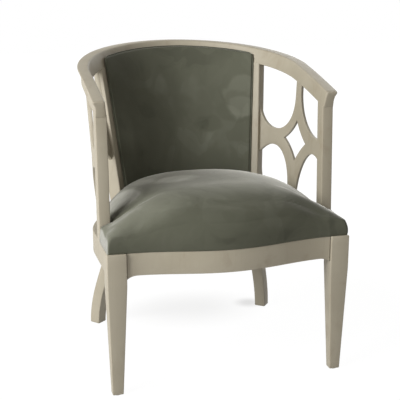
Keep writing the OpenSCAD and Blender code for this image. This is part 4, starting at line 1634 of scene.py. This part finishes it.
@dataclass
class Underside:
    """The black cloth tacked under the seat rails."""

    barrel: Barrel
    rails: SeatRails
    lap: float = 0.010
    thick: float = 0.0009
    sag: float = 0.006
    clear: float = 0.0006
    gap: float = 0.00005
    middle: tuple[float, float] = (0.0, 0.22)
    runs: tuple[tuple[float, float, int, float], ...] = (
        (0, 0.548, 40, 0.010), (0.556, 0.652, 8, -0.006), (0.66, 1, 30, 0.010),
    )

    def outline(self) -> Array:
        """Plan of the cloth, cut clear of the legs.

        Returns:
            Plan points in order.
        """
        rail = self.rails
        xs = spread(0, rail.leg_in - rail.bracket_run - self.clear, 0.012)
        front = np.column_stack([xs, rail.front_y(xs) + rail.thick - self.lap])
        block = rail.leg_block + self.clear
        edges = [front, [(xs[-1], block), (self.barrel.seat.half + self.lap, block)]]
        for start, end, count, depth in self.runs:
            edges.append(self.barrel.upright(1 - np.linspace(start, end, count), 0.0, depth)[:, :2])
        return mirrored(np.concatenate(edges))

    def build(self, shop: Workshop) -> list[bpy.types.Object]:
        """Make the cloth with its slight sag.

        Args:
            shop: Makes the pieces.

        Returns:
            The pieces made.
        """
        line, middle = self.outline(), np.array(self.middle)
        top = self.barrel.seat_height - self.rails.depth
        upper = []
        for share in np.linspace(0, 0.97, 16):
            height = top - self.gap - self.sag * math.sin(math.pi / 2 * share) ** 2
            upper.append(raised(middle + (1 - share) * (line - middle), height))
        lower = [ring - (0, 0, self.thick) for ring in upper]
        cloth = shop.piece("dust_cover_cloth", *loft(lower[::-1] + upper), ["dust_cover"], sharp=60)
        return [cloth]

    @staticmethod
    def area(line: Array) -> float:
        """Flat area inside an outline."""
        x, y = line[:, 0], line[:, 1]
        return float(abs(np.sum(x * np.roll(y, -1) - y * np.roll(x, -1))) / 2)


# Finishes


def joining(operation: str, reflected: bool = False) -> "Callable[[Value, Value | float], Value]":
    """Write a method for an arithmetic operator of shader values.

    Args:
        operation: The Math node's operation.
        reflected: Whether the other term comes first.

    Returns:
        The method, which adds one Math node and gives its result.
    """
    def method(self: "Value", other: "Value | float") -> "Value":
        """Join this value and another term."""
        first, second = (other, self) if reflected else (self, other)
        return self.kit.node("ShaderNodeMath", {0: first, 1: second}, operation=operation)
    return method


class Value:
    """A shader value. Arithmetic on it adds Math nodes."""

    def __init__(self, kit: "Kit", socket: bpy.types.NodeSocket) -> None:
        self.kit, self.socket = kit, socket

    __add__, __radd__ = joining("ADD"), joining("ADD", True)
    __sub__, __rsub__ = joining("SUBTRACT"), joining("SUBTRACT", True)
    __mul__, __rmul__ = joining("MULTIPLY"), joining("MULTIPLY", True)
    __truediv__, __rtruediv__ = joining("DIVIDE"), joining("DIVIDE", True)
    __pow__, __rpow__ = joining("POWER"), joining("POWER", True)

    def step(self, low: float, high: float) -> "Value":
        """A smooth step from 0 at low to 1 at high."""
        sockets = {0: self, 1: low, 2: high, 3: 0.0, 4: 1.0}
        return self.kit.node("ShaderNodeMapRange", sockets, interpolation_type="SMOOTHSTEP")

    def out(self, name: str) -> "Value":
        """Another output of the node that this value comes from."""
        return Value(self.kit, self.socket.node.outputs[name])


class Kit:
    """Adds nodes to the tree of one material or of the world."""

    def __init__(self, owner: bpy.types.Material | bpy.types.World) -> None:
        """Empty the node tree of a material or the world and work on it."""
        owner.use_nodes = True
        self.tree = owner.node_tree
        self.tree.nodes.clear()

    def node(
        self,
        kind: str,
        sockets: dict[int | str, object],
        output: int | str | None = 0,
        **settings: object,
    ) -> Value | None:
        """Add a node.

        Args:
            kind: The node's type.
            sockets: Numbers, colours or values for its inputs, by index or name.
            output: The output that the result stands for, or None for a node without one.
            settings: Its properties, which are set first.

        Returns:
            The chosen output as a value, if there is one.
        """
        made = self.tree.nodes.new(kind)
        for name, value in settings.items():
            setattr(made, name, value)
        for key, value in sockets.items():
            if isinstance(value, Value):
                self.tree.links.new(value.socket, made.inputs[key])
            else:
                target = made.inputs[key]
                wide = target.type == "RGBA" and len(value) == 3
                target.default_value = (*value, 1.0) if wide else value
        return None if output is None else Value(self, made.outputs[output])

    def mix(self, factor: Value | float, a: "Value | Colour", b: "Value | Colour") -> Value:
        """Mix two colours."""
        return self.node("ShaderNodeMix", {0: factor, 6: a, 7: b}, 2, data_type="RGBA")

    def place(self, scale: Place = (1, 1, 1), turn: Place = (0, 0, 0)) -> Value:
        """Object coordinates, stretched and turned."""
        at = self.node("ShaderNodeTexCoord", {}, "Object")
        return self.node("ShaderNodeMapping", {"Vector": at, "Scale": scale, "Rotation": turn})

    def vector(self, operation: str, *terms: "Value | Place", output: int | str = 0) -> Value:
        """Join vectors with one node."""
        return self.node("ShaderNodeVectorMath", dict(enumerate(terms)), output, operation=operation)

    def away(self, at: Value, middle: Place, reach: Place) -> Value:
        """Distance from a middle, counted in reaches along each axis."""
        scaled = self.vector("DIVIDE", self.vector("SUBTRACT", at, middle), reach)
        return self.vector("LENGTH", scaled, output="Value")

    def noise(self, at: Value, scale: float, detail: float = 3, rough: float = 0.5, warp: float = 0) -> Value:
        """Cloudy noise from 0 to 1."""
        sockets = {"Vector": at, "Scale": scale, "Detail": detail, "Roughness": rough, "Distortion": warp}
        return self.node("ShaderNodeTexNoise", sockets)

    def cells(self, at: Value, scale: float) -> Value:
        """Distance to the nearest cell's middle."""
        return self.node("ShaderNodeTexVoronoi", {"Vector": at, "Scale": scale}, "Distance")

    def bump(self, height: Value, strength: float, distance: float, normal: Value | None = None) -> Value:
        """A bump from a height.

        Args:
            height: The height's pattern.
            strength: How much of the bump shows.
            distance: Its depth in metres.
            normal: A bump that it is laid over.

        Returns:
            The normal.
        """
        sockets = {"Height": height, "Strength": strength, "Distance": distance}
        if normal is not None:
            sockets["Normal"] = normal
        return self.node("ShaderNodeBump", sockets)


@dataclass(frozen=True)
class Finish:
    """A finish and the material slot that it belongs to."""

    slot: Slot = Slot.PAINT

    def paint(self, kit: Kit) -> dict[str, object]:
        """Inputs of the surface shader, by name."""
        raise NotImplementedError

    def make(self) -> bpy.types.Material:
        """Make the material.

        Returns:
            The material.
        """
        material = bpy.data.materials.new(self.slot.value)
        kit = Kit(material)
        surface = kit.node("ShaderNodeBsdfPrincipled", self.paint(kit))
        kit.node("ShaderNodeOutputMaterial", {"Surface": surface}, None)
        return material


@dataclass(frozen=True)
class SatinPaint(Finish):
    """Greige satin paint over hardwood, rubbed a little browner in soft patches."""

    coat: Colour = (0.376, 0.338, 0.256)
    pale: Colour = (0.412, 0.373, 0.288)
    rubbed: Colour = (0.290, 0.240, 0.168)

    def paint(self, kit: Kit) -> dict[str, object]:
        """Mottled colour, a bump of brush strokes and uneven gloss.

        Args:
            kit: Adds the nodes.

        Returns:
            Inputs of the surface shader, by name.
        """
        at = kit.place()
        clouds = kit.noise(at, 5.0, 4, 0.55, 0.4)
        blots = kit.noise(kit.place((1, 1, 0.7)), 17.0, 3, 0.6, 0.8)
        streaks = kit.noise(kit.place((1, 1, 0.06)), 260.0, 3, 0.6)
        fine = kit.noise(at, 900.0, 2, 0.6)
        colour = kit.mix(clouds.step(0.38, 0.66), self.coat, self.pale)
        colour = kit.mix(blots.step(0.52, 0.80) * 0.55, colour, self.rubbed)
        colour = kit.mix(streaks.step(0.50, 0.80) * 0.12, colour, self.rubbed)
        height = streaks * 0.6 + fine * 0.4
        return {
            "Base Color": colour,
            "Roughness": 0.44 + clouds * 0.10 + fine * 0.05,
            "Normal": kit.bump(height, 0.10, 0.0006),
            "Specular IOR Level": 0.42,
        }


@dataclass(frozen=True)
class Patch:
    """A placed patch of velvet, lighter above 0 and darker below; the list says which are painted light and
    shade.
    """

    at: Place
    reach: Place
    tone: float
    soft: float = 0.12
    ragged: float = 1.0


@dataclass(frozen=True)
class CrushedVelvet(Finish):
    """Grey-green velvet whose pile lies in soft patches, with light and shade painted into some of the placed
    patches.
    """

    slot: Slot = Slot.VELVET
    # Dark pile, which also takes the painted shade of patches below 0.
    deep: Colour = (0.056, 0.057, 0.041)
    pile: Colour = (0.106, 0.109, 0.079)
    # Lighter pile: brushed pile, and also painted light where placed patches lift the seat.
    brushed: Colour = (0.180, 0.184, 0.142)
    # Painted sheen, where placed patches go above 1.
    silver: Colour = (0.400, 0.400, 0.360)
    patches: tuple[Patch, ...] = (
        Patch((0.183, 0.170, 0.665), (0.050, 0.10, 0.066), 0.44, 0.12),
        Patch((0.180, 0.163, 0.633), (0.034, 0.10, 0.030), 0.26, 0.14),
        Patch((0.150, 0.150, 0.535), (0.075, 0.12, 0.066), 0.34, 0.40),
        Patch((0.163, 0.160, 0.598), (0.034, 0.10, 0.008), -0.20, 0.6),
        Patch((0.086, 0.195, 0.581), (0.034, 0.10, 0.022), -0.36, 0.22),
        Patch((0.040, 0.244, 0.675), (0.030, 0.12, 0.050), 0.20, 0.35),
        Patch((0.007, 0.260, 0.706), (0.016, 0.12, 0.036), -0.22, 0.35),
        Patch((0.018, 0.233, 0.636), (0.030, 0.12, 0.028), -0.22, 0.35),
        Patch((-0.060, 0.249, 0.695), (0.030, 0.12, 0.040), 0.20, 0.35),
        Patch((0.027, 0.193, 0.528), (0.060, 0.12, 0.060), 0.22, 0.4),
        # Painted shade: the left of the back pad darker, where the left arm and post shade it.
        Patch((-0.160, 0.180, 0.600), (0.100, 0.18, 0.180), -0.12, 0.5),
        # Darker along the top of the back pad, under the top rail.
        Patch((0.0, 0.26, 0.760), (0.180, 0.12, 0.040), -0.20, 0.5),
        # Painted light: the lit slope behind the left crease, with a painted sheen.
        Patch((-0.236, -0.110, 0.452), (0.052, 0.070, 0.10), 1.65, 0.22, 0.5),
        # Painted light on the seat's top at the left.
        Patch((-0.160, -0.050, 0.476), (0.030, 0.032, 0.10), 1.20, 0.40, 0.5),
        # Painted sheen on the seat's top, left of the middle.
        Patch((-0.088, -0.098, 0.493), (0.056, 0.036, 0.10), 1.40, 0.35),
        # Painted light on the front of the ridge at the left crease.
        Patch((-0.215, -0.250, 0.445), (0.100, 0.048, 0.050), 0.85, 0.75, 0.3),
        # Painted light across the seat's top.
        Patch((-0.020, -0.240, 0.490), (0.240, 0.090, 0.06), 0.22, 0.60),
        # Painted sheen on the seat's top at the right.
        Patch((0.150, -0.150, 0.480), (0.120, 0.100, 0.06), 0.35, 0.50),
        # Painted shade in the left crease.
        Patch((-0.205, -0.182, 0.470), (0.090, 0.020, 0.10), -0.22, 0.45, 0.5),
        # Lighter on the seat's top, right of the middle.
        Patch((0.070, -0.215, 0.494), (0.120, 0.050, 0.05), 0.28, 0.5),
        # Darker low at the seat's right front corner.
        Patch((0.292, -0.300, 0.396), (0.034, 0.070, 0.050), -0.50, 0.10),
        # Darker low on the seat's front.
        Patch((0.060, -0.340, 0.392), (0.110, 0.060, 0.022), -0.25, 0.4),
        # Painted highlight along the ridge of the left crease.
        Patch((-0.262, -0.230, 0.428), (0.034, 0.016, 0.05), 0.45, 0.80),
        # Painted sheen over the whole left side of the seat.
        Patch((-0.409, -0.250, 0.400), (0.1035, 0.500, 0.500), 1.70, 0.025, 0.0),
        # Painted light on the front left corner of the seat.
        Patch((-0.300, -0.270, 0.411), (0.034, 0.050, 0.022), 0.80, 0.90, 0.3),
    )

    def placed(self, kit: Kit, at: Value, ragged: Value) -> Value:
        """Sum of the placed patches, their outlines broken up by noise.

        Args:
            kit: What the nodes are added with.
            at: Object coordinates.
            ragged: Noise about 0.

        Returns:
            The tone, from pile patches and from painted light and shade.
        """
        total = None
        for patch in self.patches:
            away = kit.away(at, patch.at, patch.reach) + ragged * patch.ragged
            inside = away.step(1 + patch.soft, 1 - patch.soft) * patch.tone
            total = inside if total is None else total + inside
        return total

    def paint(self, kit: Kit) -> dict[str, object]:
        """Patches with fairly crisp edges, some of them painted light and shade, fine pile and soft pulls.

        Args:
            kit: Adds the nodes.

        Returns:
            Inputs of the surface shader, by name.
        """
        at = kit.place()
        drift = kit.noise(at, 4.5, 3, 0.5, 0.8)
        swirl = kit.noise(kit.place((1.0, 1.0, 0.8), (0.3, 0.2, 0.5)), 9.0, 2, 0.4, 1.4)
        ragged = (kit.noise(at, 13.0, 3, 0.45, 0.6) - 0.5) * 1.2
        grain = kit.noise(at, 1400.0, 2, 0.6)
        pulls = kit.noise(kit.place((1, 1, 0.12)), 60.0, 2, 0.5, 0.3)
        tone = self.placed(kit, at, ragged) + drift.step(0.50, 0.56) * 0.16 + swirl.step(0.53, 0.58) * 0.14
        tone = tone - swirl.step(0.45, 0.40) * 0.16 + (pulls - 0.5) * 0.10
        # Placed patches paint light towards the lighter pile and, above 1, a painted sheen; below 0 they paint
        # shade with the dark pile.
        colour = kit.mix(tone.step(0.0, 1.0), self.pile, self.brushed)
        colour = kit.mix((0 - tone).step(0.0, 0.8), colour, self.deep)
        colour = kit.mix((tone - 1.0).step(0.0, 1.0), colour, self.silver)
        colour = kit.mix(grain * 0.18, colour, self.deep)
        nap = kit.bump(grain, 0.25, 0.0004)
        return {
            "Base Color": colour,
            "Roughness": 0.88 - tone * 0.08,
            "Normal": kit.bump(pulls + drift * 0.6, 0.18, 0.0014, nap),
            "Specular IOR Level": 0.2,
            "Sheen Weight": 0.90,
            "Sheen Roughness": 0.32,
            "Sheen Tint": (0.88, 0.87, 0.82, 1.0),
        }


@dataclass(frozen=True)
class SawnWood(Finish):
    """Bare sawn hardwood and plywood."""

    slot: Slot = Slot.BARE
    pale: Colour = (0.60, 0.44, 0.27)
    dark: Colour = (0.42, 0.28, 0.15)

    def paint(self, kit: Kit) -> dict[str, object]:
        """Long grain with a sawn roughness.

        Args:
            kit: Adds the nodes.

        Returns:
            Inputs of the surface shader, by name.
        """
        grain = kit.noise(kit.place((1, 12, 12)), 8.0, 5, 0.6, 0.6)
        pores = kit.noise(kit.place((2, 60, 60)), 30.0, 2, 0.6)
        colour = kit.mix(grain.step(0.35, 0.70), self.pale, self.dark)
        return {
            "Base Color": kit.mix(pores.step(0.60, 0.75) * 0.4, colour, self.dark),
            "Roughness": 0.72 + pores * 0.1,
            "Normal": kit.bump(grain + pores * 0.5, 0.3, 0.0006),
        }


@dataclass(frozen=True)
class CushionFoam(Finish):
    """Open-cell foam."""

    slot: Slot = Slot.FOAM
    face: Colour = (0.78, 0.70, 0.42)
    cell: Colour = (0.60, 0.50, 0.26)

    def paint(self, kit: Kit) -> dict[str, object]:
        """Fine cells over a soft yellow.

        Args:
            kit: Adds the nodes.

        Returns:
            Inputs of the surface shader, by name.
        """
        at = kit.place()
        holes = kit.cells(at, 700.0)
        tone = kit.noise(at, 9.0, 3)
        colour = kit.mix(holes.step(0.35, 0.10), self.face, self.cell)
        return {
            "Base Color": kit.mix(tone * 0.3, colour, self.cell),
            "Roughness": 0.95,
            "Normal": kit.bump(holes, 0.5, 0.0008),
        }


@dataclass(frozen=True)
class Woven(Finish):
    """A plain weave, for webbing or for cloth."""

    thread: Colour = (0.15, 0.11, 0.07)
    gap: Colour = (0.05, 0.036, 0.022)
    count: float = 500.0

    def threads(self, kit: Kit, direction: str) -> Value:
        """Threads that lie side by side in one direction."""
        sockets = {"Vector": kit.place(), "Scale": self.count / 6.28}
        return kit.node("ShaderNodeTexWave", sockets, bands_direction=direction)

    def paint(self, kit: Kit) -> dict[str, object]:
        """Crossing threads with dark gaps.

        Args:
            kit: Adds the nodes.

        Returns:
            Inputs of the surface shader, by name.
        """
        weave = self.threads(kit, "X") * self.threads(kit, "Z")
        wear = kit.noise(kit.place(), 30.0, 3)
        colour = kit.mix(weave.step(0.02, 0.35), self.gap, self.thread)
        return {
            "Base Color": kit.mix(wear * 0.3, colour, self.gap),
            "Roughness": 0.85 + wear * 0.1,
            "Normal": kit.bump(weave, 0.4, 0.0004),
        }


@dataclass(frozen=True)
class PlatedSteel(Finish):
    """Zinc-plated screws."""

    slot: Slot = Slot.STEEL
    plate: Colour = (0.55, 0.55, 0.57)
    dull: Colour = (0.36, 0.36, 0.38)

    def paint(self, kit: Kit) -> dict[str, object]:
        """Dull plate with fine scratches.

        Args:
            kit: Adds the nodes.

        Returns:
            Inputs of the surface shader, by name.
        """
        haze = kit.noise(kit.place(), 300.0, 4, 0.7)
        scratch = kit.noise(kit.place((1, 1, 0.05)), 2500.0, 2)
        return {
            "Base Color": kit.mix(haze * 0.4, self.plate, self.dull),
            "Metallic": 1.0,
            "Roughness": 0.30 + haze * 0.25,
            "Normal": kit.bump(scratch, 0.15, 0.0002),
        }


@dataclass(frozen=True)
class MouldedNylon(Finish):
    """Nylon glides, scuffed at the floor."""

    slot: Slot = Slot.NYLON
    body: Colour = (0.68, 0.66, 0.58)
    scuffed: Colour = (0.40, 0.38, 0.33)

    def paint(self, kit: Kit) -> dict[str, object]:
        """Off-white with a fine moulded grain.

        Args:
            kit: Adds the nodes.

        Returns:
            Inputs of the surface shader, by name.
        """
        scuff = kit.noise(kit.place(), 160.0, 4, 0.6)
        return {
            "Base Color": kit.mix(scuff.step(0.5, 0.7) * 0.5, self.body, self.scuffed),
            "Roughness": 0.45 + scuff * 0.2,
            "Normal": kit.bump(scuff, 0.15, 0.0003),
        }


# Studio


@dataclass
class Studio:
    """Floor, backdrop, lamps, world and camera."""

    eye: Place = (-0.6597, -2.0729, 1.0599)
    tilt: float = 75.192
    pan: float = -15.555
    lens: float = 83.72
    sensor: float = 36.0
    floor_half: float = 8.0
    floor_tone: float = 0.70
    sky: float = 0.125
    sky_tint: Colour = (1.0, 0.90, 0.78)
    lamps: tuple[tuple[str, Place, float, float], ...] = (
        ("key_lamp", (-3.95, -1.60, 2.55), 2.8, 268.0),
        ("fill_lamp", (0.5, -3.0, 1.6), 2.0, 8.5),
        ("back_lamp", (2.8, 3.0, 2.2), 2.8, 60.0),
    )
    aim: Place = (0, 0, 0.45)
    glow: float = 1.06
    shadow_share: float = 0.08
    shadow_reach: tuple[float, float] = (0.6, 1.4)
    # Two pools, under the seat and by the right rear foot, where more of the matt floor shows: the real shadow
    # shows more there, and the floor is painted darker there even where it is lit.
    pools: tuple[tuple[Place, Place, float], ...] = (
        ((0.02, 0.22, 0.0), (0.27, 0.20, 1.0), 0.17),
        ((0.225, 0.215, 0.0), (0.060, 0.055, 1.0), 0.30),
    )

    def camera(self, origin_y: float) -> None:
        """Put the camera where the photograph was taken from.

        Args:
            origin_y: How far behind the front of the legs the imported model's origin lies.
        """
        data = bpy.data.cameras.new("photo_camera")
        data.lens, data.sensor_width = self.lens, self.sensor
        data.clip_end = 50
        obj = bpy.data.objects.new("photo_camera", data)
        obj.location = (self.eye[0], self.eye[1] - origin_y, self.eye[2])
        obj.rotation_euler = (math.radians(self.tilt), 0, math.radians(self.pan))
        bpy.context.scene.collection.objects.link(obj)
        bpy.context.scene.camera = obj

    def seen(self, kit: Kit) -> Value:
        """1 where the camera, a reflection or glass looks straight at the set.

        Args:
            kit: Adds the nodes.

        Returns:
            The value.
        """
        path = kit.node("ShaderNodeLightPath", {}, "Is Camera Ray")
        total = path + path.out("Is Glossy Ray") + path.out("Is Transmission Ray")
        return kit.node("ShaderNodeMath", {0: total, 1: 1.0}, operation="MINIMUM")

    def world(self) -> None:
        """White to the camera, plain soft light to the chair."""
        world = bpy.data.worlds.new("studio")
        bpy.context.scene.world = world
        kit = Kit(world)
        seen = self.seen(kit)
        lamp = kit.node("ShaderNodeBackground", {"Color": self.sky_tint, "Strength": self.sky})
        white = kit.node("ShaderNodeBackground", {"Color": (1.0, 1.0, 1.0), "Strength": 1.0})
        shown = kit.node("ShaderNodeMixShader", {0: seen, 1: lamp, 2: white})
        kit.node("ShaderNodeOutputWorld", {"Surface": shown}, None)

    def floor(self) -> None:
        """A pale floor that shows as white and keeps the chair's shadow, with a painted shadow in two pools."""
        mesh = bpy.data.meshes.new("studio_floor")
        h = self.floor_half
        mesh.from_pydata([(-h, -h, 0), (h, -h, 0), (h, h, 0), (-h, h, 0)], [], [(0, 1, 2, 3)])
        obj = bpy.data.objects.new("studio_floor", mesh)
        bpy.context.scene.collection.objects.link(obj)
        material = bpy.data.materials.new("studio_floor")
        kit = Kit(material)
        matt = kit.node("ShaderNodeBsdfDiffuse", {"Color": (self.floor_tone,) * 3})
        glow = kit.node("ShaderNodeEmission", {"Color": (1.0, 1.0, 1.0), "Strength": self.glow})
        at = kit.place()
        away = kit.vector("LENGTH", at, output="Value")
        matt_share = away.step(*self.shadow_reach[::-1]) * self.shadow_share
        # Painted shadow: the pools darken the floor under the seat and by the right rear foot, over the real
        # shadow.
        for spot, reach, part in self.pools:
            matt_share = matt_share + kit.away(at, spot, reach).step(1.0, 0.1) * part
        share = self.seen(kit) * (1 - matt_share)
        shown = kit.node("ShaderNodeMixShader", {0: share, 1: matt, 2: glow})
        kit.node("ShaderNodeOutputMaterial", {"Surface": shown}, None)
        mesh.materials.append(material)

    def lamp(self, name: str, place: Place, size: float, power: float) -> None:
        """Add a soft square lamp aimed at the seat.

        Args:
            name: The lamp's name.
            place: Where it hangs.
            size: The length of its side.
            power: Its strength in watts.
        """
        data = bpy.data.lights.new(name, "AREA")
        data.shape, data.size, data.energy = "SQUARE", size, power
        obj = bpy.data.objects.new(name, data)
        obj.location = place
        obj.rotation_euler = (Vector(self.aim) - Vector(place)).to_track_quat("-Z", "Y").to_euler()
        obj.visible_camera = False
        bpy.context.scene.collection.objects.link(obj)

    def build(self, origin_y: float) -> None:
        """Set up everything round the chair.

        Args:
            origin_y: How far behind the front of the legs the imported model's origin lies.
        """
        self.world()
        self.floor()
        for lamp in self.lamps:
            self.lamp(*lamp)
        self.camera(origin_y)
        bpy.context.scene.view_settings.view_transform = "Standard"


def keep_rigid_nodes(finishes: dict[Slot, bpy.types.Material]) -> None:
    """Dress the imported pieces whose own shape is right, and soften their edges.

    Args:
        finishes: The materials by slot.
    """
    slots = {"corner_block": Slot.BARE, "seat_board": Slot.BARE, "lower_back_rail": Slot.BARE,
             "rail_dowels": Slot.BARE, "seat_screws": Slot.STEEL, "glides": Slot.NYLON}
    radius = {Slot.BARE: 0.0008, Slot.STEEL: 0.0003, Slot.NYLON: 0.0005}
    for name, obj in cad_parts.items():
        kind = next((slot for start, slot in slots.items() if name.startswith(start)), None)
        if kind is None:
            continue
        obj.data.materials.clear()
        obj.data.materials.append(finishes[kind])
        bevel = obj.modifiers.new("soft edges", "BEVEL")
        bevel.width, bevel.segments, bevel.limit_method = radius[kind], 2, "ANGLE"
        bevel.angle_limit = math.radians(40)
        LOG.info("dressed %s", name)


def main() -> None:
    """Build the chair, dress it and set up the studio."""
    logging.basicConfig(level=logging.INFO, format="%(message)s")
    shop = Workshop(origin_y=-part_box("front_leg_left")[0].y)
    barrel = Barrel()
    posts, rails = ArmPosts(barrel), SeatRails(barrel)
    black_cloth = Woven(slot=Slot.DUST, thread=(0.02, 0.02, 0.02), gap=(0.008, 0.008, 0.008), count=1500.0)
    finishes = {
        Slot.PAINT: SatinPaint().make(),
        Slot.VELVET: CrushedVelvet().make(),
        Slot.BARE: SawnWood().make(),
        Slot.FOAM: CushionFoam().make(),
        Slot.WEBBING: Woven(slot=Slot.WEBBING).make(),
        Slot.DUST: black_cloth.make(),
        Slot.STEEL: PlatedSteel().make(),
        Slot.NYLON: MouldedNylon().make(),
    }
    painted = [TopRail(barrel, posts), RearPosts(barrel), FrontLegs(), posts, rails, Fretwork(barrel, posts)]
    soft_slots = {"seat_foam_block": Slot.FOAM, "back_foam_sheet": Slot.FOAM,
                  "back_webbing_bands": Slot.WEBBING, "dust_cover_cloth": Slot.DUST}
    seat = SeatCushion(barrel, rails, posts, Stuffing(cap=0.007, calm=25))
    soft = [seat, BackPad(barrel, Stuffing(cap=0.005)), BackLinings(barrel), Underside(barrel, rails)]
    for makers, slot in ((painted, Slot.PAINT), (soft, Slot.VELVET)):
        for maker in makers:
            for obj in maker.build(shop):
                dress(obj, soft_slots.get(obj.name, slot), finishes)
    keep_rigid_nodes(finishes)
    Studio().build(shop.origin_y)


def dress(obj: bpy.types.Object, slot: Slot, finishes: dict[Slot, bpy.types.Material]) -> None:
    """Give a piece its finish.

    Args:
        obj: The piece.
        slot: The finish's slot.
        finishes: The materials by slot.
    """
    obj.data.materials.clear()
    obj.data.materials.append(finishes[slot])


if __name__ == "__main__":
    main()
